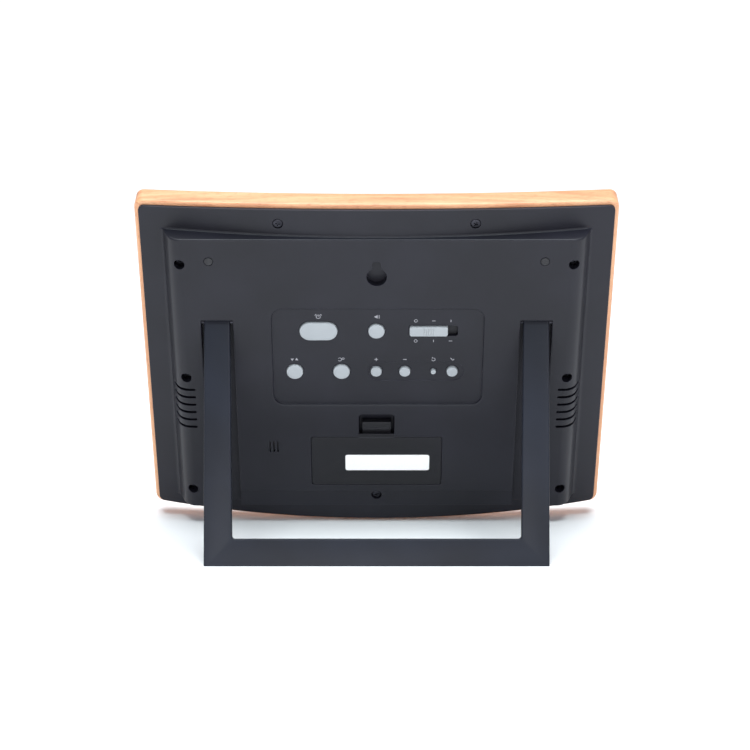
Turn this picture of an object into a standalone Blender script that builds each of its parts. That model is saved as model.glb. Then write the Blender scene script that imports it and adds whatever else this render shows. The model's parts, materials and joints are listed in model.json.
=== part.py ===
"""Desk clock in a curved wooden picture-frame body, standing on a folding U-shaped stand.

The clock is modelled in the frame of its own panel: X runs across, Y runs from the display (-) to
the back (+), and Z runs up the panel. Y = 0 is the flat rear face of the back cover. One empty, the
panel, then leans the whole clock back until its frame and its stand both rest on the ground.
"""

import math

import bmesh
import bpy
from mathutils import Matrix, Vector

MM = 0.001

# Gaps between pieces.
CLEARANCE = 0.3 * MM

# Sides of a round piece, by how large it shows.
FINE_SIDES = 28
CELL_SIDES = 20
BUTTON_SIDES = 18
ROUND_SIDES = 16
SMALL_SIDES = 12
SCREW_SIDES = 10

# Two AAA cells, which set how thick the clock is.
CELL_RADIUS = 5.25 * MM
CELL_LENGTH = 44.5 * MM
CELL_NUB = 1 * MM
CELL_NUB_RADIUS = 1.9 * MM
CELL_GAP = 1 * MM

# Wooden frame, bent so that its ends come forward of its middle.
FRAME_WIDTH = 250 * MM
FRAME_HEIGHT = 200 * MM
DISPLAY_ROOM = 2.5 * MM
FRAME_THICKNESS = 2 * CELL_RADIUS + DISPLAY_ROOM
FRAME_SAG = 12.8 * MM
FRAME_CORNER = 4.5 * MM
EDGE_ARCH = 4 * MM
FACE_BORDER = 24 * MM
REBATE_BORDER = 15 * MM
FRAME_LIP = 1.8 * MM
STATION = 10 * MM
ARC_RADIUS = ((FRAME_WIDTH / 2) ** 2 + FRAME_SAG ** 2) / (2 * FRAME_SAG)
EDGE_RADIUS = ((FRAME_WIDTH / 2) ** 2 + EDGE_ARCH ** 2) / (2 * EDGE_ARCH)

# Back cover: a curved flange plate with a raised, flat-backed body.
RIM = 2.3 * MM
PLATE = 2 * MM
PLATE_CORNER = 2.5 * MM
WALL = 2 * MM
BODY_RISE = 2.5 * MM
BODY_HALF_WIDTH = FRAME_WIDTH / 2 - 14.5 * MM
BODY_TOP = FRAME_HEIGHT / 2 - 17.8 * MM
BODY_BOTTOM = 12.5 * MM - FRAME_HEIGHT / 2
BODY_DRAFT = math.radians(22)
BODY_BASE = -BODY_RISE - ARC_RADIUS + math.sqrt(ARC_RADIUS ** 2 - BODY_HALF_WIDTH ** 2)
SHOULDER_X = BODY_HALF_WIDTH + BODY_BASE * math.tan(BODY_DRAFT)
SHOULDER_RADIUS = 8 * MM
BASE_FILLET = 2.5 * MM
RIDGE_BEVEL = 1 * MM

# Folding stand and the channels it folds into.
PIVOT_DEPTH = 3 * MM
STAND_LENGTH = 127.5 * MM
PIVOT_HEIGHT = BODY_BOTTOM + STAND_LENGTH - 8.6 * MM
STAND_OPEN = math.radians(34.5)
STAND_HALF_WIDTH = BODY_HALF_WIDTH - 20 * MM
STAND_THICKNESS = 4.6 * MM
ARM_TOP = 1.5 * MM
ARM_WIDTH_TOP = 13.5 * MM
ARM_WIDTH_BOTTOM = 14.8 * MM
CROSSBAR_HEIGHT = 13.7 * MM
STAND_OUTER_CORNER = 2 * MM
STAND_INNER_CORNER = 1.5 * MM
CHANNEL_GAP = 2 * MM
CHANNEL_TOP_GAP = 1.3 * MM
CHANNEL_DEPTH = 6.2 * MM
CROSSBAR_CHANNEL_TOP = BODY_BOTTOM + 11.2 * MM
DOOR_ABOVE_CHANNEL = 4.1 * MM
CROSSBAR_CHANNEL_DEPTH = 1.5 * MM
PIN_RADIUS = 1.25 * MM

# Control panel: a shallow recess with eight buttons and a slide switch.
PANEL_LEFT = -56.8 * MM
PANEL_RIGHT = 55.6 * MM
PANEL_TOP = 41 * MM
PANEL_BOTTOM = -19.7 * MM
PANEL_CORNER = 6.5 * MM
PANEL_DEPTH = 1.5 * MM
BUTTON_HEIGHT = 1.2 * MM
BUTTON_TRAVEL = 0.6 * MM
BUTTON_FLANGE = 1 * MM
BUTTON_DOME = 0.4 * MM
DOME_SHARE = 0.25
UPPER_ROW = 26.7 * MM
LOWER_ROW = 1.4 * MM
ROUND_BUTTONS = {
    "demo_button": (0.1 * MM, UPPER_ROW, 4.3 * MM),
    "max_min_button": (43.6 * MM, LOWER_ROW, 4.4 * MM),
    "degrees_button": (18.7 * MM, LOWER_ROW, 4.4 * MM),
    "plus_button": (0.2 * MM, LOWER_ROW, 2.95 * MM),
    "minus_button": (-15 * MM, LOWER_ROW, 2.95 * MM),
    "reset_button": (-30.2 * MM, LOWER_ROW, 1.4 * MM),
    "set_button": (-40.2 * MM, LOWER_ROW, 2.95 * MM),
}
ALARM_BUTTON_AT = (30.6 * MM, UPPER_ROW)
ALARM_BUTTON_SIZE = (20 * MM, 10.8 * MM)
SMALL_ROW_LEFT = -46.4 * MM
SMALL_ROW_RIGHT = 4.8 * MM
SMALL_ROW_HEIGHT = 12 * MM
SMALL_ROW_DEPTH = 0.4 * MM
KNOB_LENGTH = 20.2 * MM
KNOB_HEIGHT = 5.8 * MM
KNOB_TRAVEL = 5 * MM
KNOB_START = -27.4 * MM
KNOB_SKIRT = 6 * MM
SLIDE_BODY_LENGTH = 14 * MM
SLIDE_BODY_FLOOR = 0.8 * MM

# Battery bay, and its door.
SPRING_WIRE = 0.35 * MM
SPRING_NARROW = 2.2 * MM
SPRING_WIDE = 3.6 * MM
SPRING_TURNS = 3
SPRING_SIDES = 8
CONTACT_THICKNESS = 0.5 * MM
CONTACT_WIDTH = 8 * MM
CONTACT_HEIGHT = 20 * MM
CONTACT_ROOM = 10 * MM
BAY_WALL = 1 * MM
DOOR_THICKNESS = 1.5 * MM
DOOR_CORNER = 1.5 * MM
DOOR_SIDE_LEDGE = 8.3 * MM
DOOR_EDGE_LEDGE = 3.8 * MM
LEDGE_THICKNESS = 1.5 * MM
LATCH_WIDTH = 15.9 * MM
LATCH_REACH = 9.6 * MM
LATCH_TAB_HEIGHT = 5 * MM
LATCH_DEPTH = 4 * MM
LATCH_LEAF = 1.3 * MM
LATCH_WEB = 1 * MM
POCKET_HALF_WIDTH = 10 * MM
POCKET_REACH = 15.5 * MM
POCKET_DEPTH = 5.5 * MM
TONGUE_SPREAD = 22 * MM
TONGUE_WIDTH = 8 * MM
TONGUE_DEPTH = 3.1 * MM
TONGUE_REACH = 1.8 * MM
TONGUE_ROOT = 1 * MM
SWEEP_STEPS = 10
LABEL_SIZE = (46 * MM, 10.3 * MM)
LABEL_OFFSET = (-5.9 * MM, -1.1 * MM)
LABEL_THICKNESS = 0.2 * MM

# Openings in the back cover.
KEYHOLE_HEIGHT = BODY_TOP - 22.1 * MM
KEYHOLE_RADIUS = 5.45 * MM
KEYHOLE_SLOT_WIDTH = 4.9 * MM
KEYHOLE_SLOT_REACH = 9.6 * MM
KEYHOLE_POCKET_DEPTH = 5 * MM
VENT_COUNT = 6
VENT_PITCH = 4.8 * MM
VENT_TOP = -9.5 * MM
VENT_WIDTH = 1.5 * MM
VENT_INNER = SHOULDER_X - 8.5 * MM
VENT_DEPTH = 9 * MM
GRILLE_COUNT = 3
GRILLE_PITCH = 2.1 * MM
GRILLE_SLOT = (0.9 * MM, 7.3 * MM)
SOUNDER_AT = (56 * MM, -46.8 * MM)
SOUNDER_RADIUS = 9 * MM
SOUNDER_HEIGHT = 2 * MM

# Screws and rubber bumpers.
SCREW_HEAD_RADIUS = 2.5 * MM
SCREW_SHANK_RADIUS = 1.1 * MM
HEAD_HEIGHT = 1.6 * MM
FLANGE_HEAD_HEIGHT = 1 * MM
FLANGE_BORE_DEPTH = 1.2 * MM
FLANGE_SCREW_AT = (50.5 * MM, FRAME_HEIGHT / 2 - 11 * MM)
FLANGE_SCREW_LENGTH = 9 * MM
SIDE_SCREW_X = SHOULDER_X - 3.9 * MM
SIDE_SCREW_HEIGHTS = (BODY_TOP - 14.7 * MM, -2 * MM, BODY_BOTTOM + 12.1 * MM)
SIDE_BORE_DEPTH = 6 * MM
SIDE_SCREW_LENGTH = 10 * MM
BOTTOM_SCREW_HEIGHT = BODY_BOTTOM + 6.9 * MM
BOTTOM_BORE_DEPTH = 4 * MM
BOTTOM_SCREW_LENGTH = 8 * MM
BOSS_WALL = 1.1 * MM
CROWN_RADIUS = 0.7
CROWN_DROP = 0.1
EDGE_DROP = 0.45
CROSS_REACH = 0.6
CROSS_WIDTH = 0.7 * MM
CROSS_DEPTH = 0.7 * MM
BUMPER_AT = (STAND_HALF_WIDTH - 4 * MM, BODY_TOP - 12.8 * MM)
BUMPER_RADIUS = 2.2 * MM
BUMPER_SEAT = 1 * MM
BUMPER_PROUD = 0.3 * MM

# Display stack, from the window back to the boards.
WINDOW_THICKNESS = 1.2 * MM
MASK_THICKNESS = 0.3 * MM
MASK_LAP = 3 * MM
LCD_THICKNESS = 2 * MM
LCD_HALF_WIDTH = FRAME_WIDTH / 2 - 45 * MM
LCD_TOP = BODY_TOP - 14.2 * MM
LCD_BOTTOM = -32 * MM
TRAY_THICKNESS = 1.5 * MM
TRAY_RIM = 1.2 * MM
TRAY_MARGIN = 4.5 * MM
TRAY_GAP = 1 * MM
TRAY_CORNER = 2 * MM
TRAY_OVERLAP = 0.5 * MM
POST_RADIUS = 3 * MM
BOARD_THICKNESS = 1.2 * MM
BOARD_DEPTH = 7.6 * MM
MAIN_BOARD_HALF_WIDTH = 62 * MM
MAIN_BOARD_TOP = BODY_TOP - 5.2 * MM
MAIN_BOARD_BOTTOM = MAIN_BOARD_TOP - 32 * MM
CONTROL_BOARD_TOP = 38 * MM
CONTROL_BOARD_MARGIN = 3 * MM
STRIP_HEIGHT = MAIN_BOARD_TOP - 11 * MM
STRIP_HALF_LENGTH = 55 * MM
STRIP_WIDTH = 2.4 * MM
SWITCH_BODY = 4.5 * MM
SWITCH_HEIGHT = 1.2 * MM
PLUNGER_RADIUS = 1.1 * MM
PLUNGER_HEIGHT = 0.4 * MM
RIBBON_WIDTH = 20 * MM
RIBBON_THICKNESS = 0.3 * MM
RIBBON_ARCH = 1.2 * MM
RIBBON_LAP = 2 * MM
RIBBON_X = 48 * MM
CHIP_AT = (32 * MM, MAIN_BOARD_TOP - 17 * MM)
CHIP_SIZE = (12 * MM, 12 * MM, 1.6 * MM)
CRYSTAL_AT = (12 * MM, MAIN_BOARD_TOP - 24 * MM)
CRYSTAL_RADIUS = 1 * MM
CRYSTAL_LENGTH = 6 * MM
THERMISTOR_AT = (3.9 * MM - SHOULDER_X, -6 * MM, -21 * MM)
THERMISTOR_RADIUS = 1.25 * MM
THERMISTOR_LENGTH = 5 * MM

# Levels worked out from the sizes above, along the panel's Y.
WOOD_REAR = PLATE + CLEARANCE
WOOD_FRONT = WOOD_REAR + FRAME_THICKNESS
WINDOW_FRONT = WOOD_FRONT - FRAME_LIP - CLEARANCE
WINDOW_REAR = WINDOW_FRONT - WINDOW_THICKNESS
MASK_FRONT = WINDOW_REAR - CLEARANCE
MASK_REAR = MASK_FRONT - MASK_THICKNESS
LCD_FRONT = -BODY_RISE - MASK_REAR + CLEARANCE
LCD_REAR = LCD_FRONT + LCD_THICKNESS
TRAY_FRONT = LCD_REAR + CLEARANCE
TRAY_REAR = TRAY_FRONT + TRAY_THICKNESS
BOSS_END = TRAY_REAR + CLEARANCE
BOARD_REAR = -BOARD_DEPTH
BOARD_FRONT = BOARD_REAR - BOARD_THICKNESS
PANEL_FLOOR = -PANEL_DEPTH
PANEL_INNER = PANEL_FLOOR - WALL
SWITCH_TOP = BOARD_REAR + CLEARANCE + SWITCH_HEIGHT + PLUNGER_HEIGHT
BAY_LENGTH = CELL_LENGTH + CONTACT_ROOM
BAY_HEIGHT = 4 * CELL_RADIUS + 3 * CELL_GAP
CELL_REAR = -DOOR_THICKNESS - CLEARANCE
CELL_AXIS = CELL_REAR - CELL_RADIUS
BAY_FLOOR = CELL_AXIS - CELL_RADIUS - CLEARANCE
DOOR_WIDTH = BAY_LENGTH + 2 * DOOR_SIDE_LEDGE
DOOR_HEIGHT = BAY_HEIGHT + 2 * DOOR_EDGE_LEDGE
BAY_CENTRE = CROSSBAR_CHANNEL_TOP + DOOR_ABOVE_CHANNEL + DOOR_HEIGHT / 2
DOOR_TOP = BAY_CENTRE + DOOR_HEIGHT / 2
DOOR_BOTTOM = BAY_CENTRE - DOOR_HEIGHT / 2
CHANNEL_OUTER = STAND_HALF_WIDTH + CHANNEL_GAP
CHANNEL_INNER = STAND_HALF_WIDTH - ARM_WIDTH_TOP - CHANNEL_GAP
CHANNEL_TOP = PIVOT_HEIGHT + ARM_TOP + CHANNEL_TOP_GAP
OPENING_HALF_WIDTH = FRAME_WIDTH / 2 - REBATE_BORDER
OPENING_HALF_HEIGHT = FRAME_HEIGHT / 2 - REBATE_BORDER
OUTSIDE = 3 * MM

FINISHES = {
    "beech": ((0.78, 0.44, 0.24), 0.45, 0.0),
    "black_abs": ((0.035, 0.035, 0.045), 0.5, 0.0),
    "grey_abs": ((0.45, 0.50, 0.52), 0.4, 0.0),
    "acrylic": ((0.75, 0.80, 0.82), 0.05, 0.0),
    "black_ink": ((0.01, 0.01, 0.012), 0.6, 0.0),
    "liquid_crystal_glass": ((0.45, 0.50, 0.44), 0.15, 0.0),
    "circuit_board": ((0.03, 0.20, 0.08), 0.5, 0.0),
    "steel": ((0.55, 0.55, 0.57), 0.3, 1.0),
    "black_steel": ((0.03, 0.03, 0.035), 0.35, 1.0),
    "rubber": ((0.03, 0.03, 0.03), 0.8, 0.0),
    "paper": ((0.92, 0.92, 0.92), 0.6, 0.0),
    "cell_sleeve": ((0.10, 0.16, 0.40), 0.4, 0.0),
    "chip_epoxy": ((0.02, 0.02, 0.02), 0.5, 0.0),
    "film": ((0.60, 0.55, 0.45), 0.4, 0.0),
}


# ---------------------------------------------------------------------------------------------
# Outlines
# ---------------------------------------------------------------------------------------------

def arc_y(x, depth):
    """Y of the bent frame's surface at x, at a depth in front of the flange's rear surface."""
    radius = ARC_RADIUS - depth
    return -BODY_RISE - ARC_RADIUS + math.sqrt(radius ** 2 - x ** 2)


def stations(half_width):
    """Places across the width, every STATION, with both ends."""
    count = math.ceil(half_width / STATION) - 1
    inner = [i * STATION for i in range(-count, count + 1)]
    return [-half_width, *inner, half_width]


def rounded_path(corners, steps=6):
    """A closed outline through (x, y, radius) corners, with each corner rounded to its radius."""
    points = []
    for i, (x, y, radius) in enumerate(corners):
        corner = Vector((x, y))
        if radius == 0:
            points.append(corner)
            continue
        back = (Vector(corners[i - 1][:2]) - corner).normalized()
        ahead = (Vector(corners[(i + 1) % len(corners)][:2]) - corner).normalized()
        angle = back.angle(ahead)
        centre = corner + (back + ahead).normalized() * radius / math.sin(angle / 2)
        start = corner + back * radius / math.tan(angle / 2) - centre
        turn = math.pi - angle
        side = 1 if back.cross(ahead) < 0 else -1
        count = max(2, math.ceil(steps * turn / (math.pi / 2)))
        for k in range(count + 1):
            points.append(centre + Matrix.Rotation(side * turn * k / count, 2) @ start)
    return points


def rectangle(left, right, bottom, top, radius=0.0):
    corners = [(left, bottom, radius), (right, bottom, radius), (right, top, radius), (left, top, radius)]
    return rounded_path(corners)


def barrel(width, height, radius):
    """The frame's outline: straight sides, and top and bottom edges that arch outward."""
    half = width / 2
    drop = {x: EDGE_RADIUS - math.sqrt(EDGE_RADIUS ** 2 - x ** 2) for x in stations(half)}
    bottom = [(x, drop[x] - height / 2, radius if abs(x) == half else 0) for x in stations(half)]
    top = [(x, -y, r) for x, y, r in reversed(bottom)]
    return rounded_path(bottom + top, steps=4)


def body_profile(inset):
    """The raised body seen from above: flat back, round shoulders, sloping sides, open front."""
    slope = math.tan(BODY_DRAFT)
    half = BODY_HALF_WIDTH - inset
    base = arc_y(BODY_HALF_WIDTH, 0)
    shoulder = half + (base + inset) * slope - inset * (1 / math.cos(BODY_DRAFT) - 1)
    shoulder_radius = SHOULDER_RADIUS - inset
    if inset > 0:
        front = arc_y(half, PLATE) - OUTSIDE
        right = [(shoulder, -inset, shoulder_radius), (half, base, 0), (half, front, 0)]
        left = [(-x, y, r) for x, y, r in reversed(right)]
        return rounded_path(left + right)
    foot = half + BASE_FILLET
    right = [(shoulder, 0, shoulder_radius), (half, base, BASE_FILLET)]
    right += [(foot + BASE_FILLET, arc_y(foot + BASE_FILLET, PLATE / 4), 0)]
    left = [(-x, y, r) for x, y, r in reversed(right)]
    front = [(x, arc_y(x, PLATE / 2), 0) for x in reversed(stations(foot))]
    return rounded_path(left + right + front)


# ---------------------------------------------------------------------------------------------
# Solids
# ---------------------------------------------------------------------------------------------

def place(thing, at=(0, 0, 0), turn=(0, 0, 0)):
    """Hang an object from the panel; until it gets a finish it counts as a cutter."""
    thing.location = at
    thing.rotation_euler = turn
    thing.parent = panel
    thing.hide_render = True
    thing.display_type = "WIRE"
    cutters.objects.link(thing)
    return thing


def finish(thing, kind):
    """Turn a solid into a sub-part with its own material."""
    colour, roughness, metallic = FINISHES[kind]
    material = bpy.data.materials.new(f"{thing.name}_{kind}")
    material.use_nodes = True
    shader = material.node_tree.nodes["Principled BSDF"]
    shader.inputs["Base Color"].default_value = (*colour, 1)
    shader.inputs["Roughness"].default_value = roughness
    shader.inputs["Metallic"].default_value = metallic
    thing.data.materials.clear()
    thing.data.materials.append(material)
    thing.hide_render = False
    thing.display_type = "TEXTURED"
    cutters.objects.unlink(thing)
    parts.objects.link(thing)
    return thing


def prism(name, outline, start, end, axis, holes=()):
    """A flat outline made solid from start to end along an axis of the panel."""
    curve = bpy.data.curves.new(name, "CURVE")
    curve.dimensions = "2D"
    curve.fill_mode = "BOTH"
    curve.extrude = (end - start) / 2
    for points in (outline, *holes):
        spline = curve.splines.new("POLY")
        spline.points.add(len(points) - 1)
        for spot, (x, y) in zip(spline.points, points):
            spot.co = (x, y, 0, 1)
        spline.use_cyclic_u = True
    sketch = bpy.data.objects.new(name, curve)
    bpy.context.scene.collection.objects.link(sketch)
    bpy.context.view_layer.update()
    graph = bpy.context.evaluated_depsgraph_get()
    mesh = bpy.data.meshes.new_from_object(sketch.evaluated_get(graph))
    bpy.data.objects.remove(sketch)
    bpy.data.curves.remove(curve)
    turn = {
        "x": Matrix(((0, 0, 1, 0), (1, 0, 0, 0), (0, 1, 0, 0), (0, 0, 0, 1))),
        "y": Matrix.Rotation(math.pi / 2, 4, "X"),
        "z": Matrix.Identity(4),
    }[axis]
    middle = Vector({"x": (1, 0, 0), "y": (0, 1, 0), "z": (0, 0, 1)}[axis]) * (start + end) / 2
    mesh.transform(Matrix.Translation(middle) @ turn)
    shape = bmesh.new()
    shape.from_mesh(mesh)
    bmesh.ops.remove_doubles(shape, verts=shape.verts, dist=0.001 * MM)
    bmesh.ops.recalc_face_normals(shape, faces=shape.faces)
    shape.to_mesh(mesh)
    shape.free()
    mesh.name = name
    return place(bpy.data.objects.new(name, mesh))


def block(name, x, y, z, bevel=0.0):
    """A box between pairs of coordinates, with all its edges rounded by bevel."""
    middle = Vector([(low + high) / 2 for low, high in (x, y, z)])
    size = [high - low for low, high in (x, y, z)]
    shape = bmesh.new()
    bmesh.ops.create_cube(shape, size=1)
    bmesh.ops.scale(shape, vec=size, verts=shape.verts)
    if bevel > 0:
        bmesh.ops.bevel(shape, geom=shape.edges[:], offset=bevel, segments=2, profile=0.5, affect="EDGES")
    mesh = bpy.data.meshes.new(name)
    shape.to_mesh(mesh)
    shape.free()
    return place(bpy.data.objects.new(name, mesh), middle)


def rod(name, radius, length, middle, axis="y", sides=ROUND_SIDES):
    """A round rod with its middle at a place."""
    turn = {
        "x": Matrix.Rotation(math.pi / 2, 4, "Y"),
        "y": Matrix.Rotation(math.pi / 2, 4, "X"),
    }[axis]
    shape = bmesh.new()
    bmesh.ops.create_cone(
        shape, cap_ends=True, segments=sides, radius1=radius, radius2=radius, depth=length, matrix=turn
    )
    mesh = bpy.data.meshes.new(name)
    shape.to_mesh(mesh)
    shape.free()
    mesh.shade_smooth()
    mesh.set_sharp_from_angle(angle=math.radians(40))
    return place(bpy.data.objects.new(name, mesh), middle)


def bore(name, radius, rear, front, x, z, sides=ROUND_SIDES):
    """A round cutter along Y between two levels."""
    return rod(name, radius, rear - front, (x, (rear + front) / 2, z), "y", sides)


def turned(name, profile, at, steps):
    """A turned solid whose axis runs along the panel's Y; the profile is (radius, y) from its rear."""
    mesh = bpy.data.meshes.new(name)
    points = [(radius, 0, y) for radius, y in profile]
    mesh.from_pydata(points, [(i, i + 1) for i in range(len(points) - 1)], [])
    thing = place(bpy.data.objects.new(name, mesh), at, (-math.pi / 2, 0, 0))
    spin = thing.modifiers.new("turn", "SCREW")
    spin.steps = steps
    spin.render_steps = steps
    spin.use_merge_vertices = True
    spin.merge_threshold = 0.00001
    return thing


def combine(thing, other, operation="DIFFERENCE"):
    step = thing.modifiers.new(f"{operation.lower()} {other.name}", "BOOLEAN")
    step.operation = operation
    step.solver = "EXACT"
    step.object = other
    return thing


def join(thing, *others):
    for other in others:
        combine(thing, other, "UNION")
    return thing


def cut(thing, *others):
    for other in others:
        combine(thing, other)
    return thing


def arc_slab(name, shallow, deep):
    """The bent layer between two depths, wider and taller than the frame."""
    places = stations(FRAME_WIDTH / 2 + OUTSIDE)
    rear = [(x, arc_y(x, shallow)) for x in places]
    front = [(x, arc_y(x, deep)) for x in reversed(places)]
    return prism(name, rear + front, -FRAME_HEIGHT, FRAME_HEIGHT, "z")


def bent_sheet(name, outline, shallow, deep):
    """A sheet of the given outline that follows the frame's bend."""
    far_front = arc_y(FRAME_WIDTH / 2 + OUTSIDE, deep) - OUTSIDE
    sheet = prism(name, outline, far_front, OUTSIDE, "y")
    return combine(sheet, arc_slab(f"{name}_layer", shallow, deep), "INTERSECT")


# ---------------------------------------------------------------------------------------------
# Wooden frame
# ---------------------------------------------------------------------------------------------

def mitre_outlines():
    """Four outlines that part the frame along its corners' diagonals, a clearance apart."""
    half_width = FRAME_WIDTH / 2 + OUTSIDE
    half_height = FRAME_HEIGHT / 2 - EDGE_ARCH + OUTSIDE
    reach = FACE_BORDER + 2 * OUTSIDE
    gap = CLEARANCE / math.sqrt(2)
    tall = EDGE_ARCH + OUTSIDE
    rail = [
        (-half_width + gap, half_height),
        (-half_width + gap, half_height + tall),
        (half_width - gap, half_height + tall),
        (half_width - gap, half_height),
        (half_width - reach - gap, half_height - reach),
        (-half_width + reach + gap, half_height - reach),
    ]
    stile = [
        (half_width, half_height - gap),
        (half_width, -half_height + gap),
        (half_width - reach, -half_height + reach + gap),
        (half_width - reach, half_height - reach - gap),
    ]
    return {
        "frame_top_rail": rail,
        "frame_bottom_rail": [(x, -z) for x, z in rail],
        "frame_stile_left": stile,
        "frame_stile_right": [(-x, z) for x, z in stile],
    }


def make_frame():
    outline = barrel(FRAME_WIDTH, FRAME_HEIGHT, FRAME_CORNER)
    opening_x = FRAME_WIDTH / 2 - FACE_BORDER
    opening_z = FRAME_HEIGHT / 2 - FACE_BORDER
    opening = rectangle(-opening_x, opening_x, -opening_z, opening_z)
    rebate_x = OPENING_HALF_WIDTH
    rebate_z = OPENING_HALF_HEIGHT
    rebate_outline = rectangle(-rebate_x, rebate_x, -rebate_z, rebate_z)
    rebate = bent_sheet("frame_rebate", rebate_outline, 0, WOOD_FRONT - FRAME_LIP)
    far_front = arc_y(FRAME_WIDTH / 2 + OUTSIDE, WOOD_FRONT) - OUTSIDE
    layer = arc_slab("frame_layer", WOOD_REAR, WOOD_FRONT)
    for name, mitre in mitre_outlines().items():
        member = prism(name, outline, far_front, OUTSIDE, "y", holes=[opening])
        combine(member, layer, "INTERSECT")
        combine(member, prism(f"{name}_mitre", mitre, far_front - OUTSIDE, 2 * OUTSIDE, "y"), "INTERSECT")
        cut(member, rebate)
        if name == "frame_top_rail":
            for side in (-1, 1):
                x, z = FLANGE_SCREW_AT
                floor = arc_y(x, 0) - FLANGE_BORE_DEPTH
                pilot = SCREW_SHANK_RADIUS + CLEARANCE
                deep = floor - FLANGE_SCREW_LENGTH - CLEARANCE
                cut(member, bore(f"pilot_{side}", pilot, OUTSIDE, deep, side * x, z, SMALL_SIDES))
        finish(member, "beech")


# ---------------------------------------------------------------------------------------------
# Back cover
# ---------------------------------------------------------------------------------------------

def body_prism(name, inset):
    """The raised body, set in evenly by inset."""
    return prism(name, body_profile(inset), BODY_BOTTOM + inset, BODY_TOP - inset, "z")


def side_screw_places():
    return [(side * SIDE_SCREW_X, z) for side in (1, -1) for z in SIDE_SCREW_HEIGHTS]


def all_buttons():
    """Each button's name with its place, and the switch places under it."""
    places = {"alarm_button": ALARM_BUTTON_AT}
    places.update({name: (x, z) for name, (x, z, _) in ROUND_BUTTONS.items()})
    return places


def cover_blocks():
    """Solid blocks inside the cover that its channels, pockets and bores are cut into."""
    blocks = []
    for side in (-1, 1):
        xs = sorted((side * (CHANNEL_INNER - WALL), side * (CHANNEL_OUTER + WALL)))
        level = (-CHANNEL_DEPTH - WALL, OUTSIDE)
        blocks.append(block(f"channel_block_{side}", xs, level, (BODY_BOTTOM, CHANNEL_TOP + WALL)))
    floor = -CROSSBAR_CHANNEL_DEPTH - WALL
    reach = CHANNEL_INNER
    span = (BODY_BOTTOM, CROSSBAR_CHANNEL_TOP + WALL)
    blocks.append(block("crossbar_block", (-reach, reach), (floor, OUTSIDE), span))
    xs = (PANEL_LEFT - WALL, PANEL_RIGHT + WALL)
    span = (PANEL_BOTTOM - WALL, PANEL_TOP + WALL)
    blocks.append(block("panel_block", xs, (PANEL_INNER, OUTSIDE), span))
    half = DOOR_WIDTH / 2 + WALL
    ledge = -DOOR_THICKNESS - CLEARANCE - LEDGE_THICKNESS
    span = (DOOR_BOTTOM - WALL, DOOR_TOP + WALL)
    blocks.append(block("ledge_block", (-half, half), (ledge, OUTSIDE), span))
    half = BAY_LENGTH / 2 + BAY_WALL
    tall = BAY_HEIGHT / 2 + BAY_WALL
    span = (BAY_CENTRE - tall, BAY_CENTRE + tall)
    blocks.append(block("bay_block", (-half, half), (BAY_FLOOR - BAY_WALL, OUTSIDE), span))
    half = POCKET_HALF_WIDTH + BAY_WALL
    top = DOOR_TOP + POCKET_REACH + BAY_WALL
    level = (-POCKET_DEPTH - BAY_WALL, OUTSIDE)
    blocks.append(block("pocket_block", (-half, half), level, (BAY_CENTRE, top)))
    half = KEYHOLE_RADIUS + CLEARANCE + BAY_WALL
    top = KEYHOLE_HEIGHT + KEYHOLE_SLOT_REACH + 2 * BAY_WALL
    deep = -KEYHOLE_POCKET_DEPTH - BAY_WALL
    blocks.append(block("keyhole_block", (-half, half), (deep, OUTSIDE), (KEYHOLE_HEIGHT - half, top)))
    boss = SCREW_HEAD_RADIUS + CLEARANCE + BOSS_WALL
    for i, (x, z) in enumerate(side_screw_places()):
        blocks.append(bore(f"side_boss_{i}", boss, OUTSIDE, BOSS_END, x, z))
    blocks.append(bore("bottom_boss", boss, OUTSIDE, BOSS_END, 0, BOTTOM_SCREW_HEIGHT))
    return blocks


def stand_channels():
    """Cutters for the two arm channels, the crossbar's channel and the pivot holes."""
    low = BODY_BOTTOM - OUTSIDE
    made = []
    for side in (-1, 1):
        xs = sorted((side * CHANNEL_INNER, side * CHANNEL_OUTER))
        made.append(block(f"channel_{side}", xs, (-CHANNEL_DEPTH, OUTSIDE), (low, CHANNEL_TOP)))
        reach = CHANNEL_OUTER - CHANNEL_INNER + 2 * WALL + 2 * CLEARANCE
        middle = (side * (CHANNEL_OUTER + CHANNEL_INNER) / 2, -PIVOT_DEPTH, PIVOT_HEIGHT)
        made.append(rod(f"pivot_hole_{side}", PIN_RADIUS + CLEARANCE, reach, middle, "x", SMALL_SIDES))
    half = CHANNEL_INNER + PIN_RADIUS
    level = (-CROSSBAR_CHANNEL_DEPTH, OUTSIDE)
    made.append(block("crossbar_channel", (-half, half), level, (low, CROSSBAR_CHANNEL_TOP)))
    return made


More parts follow.
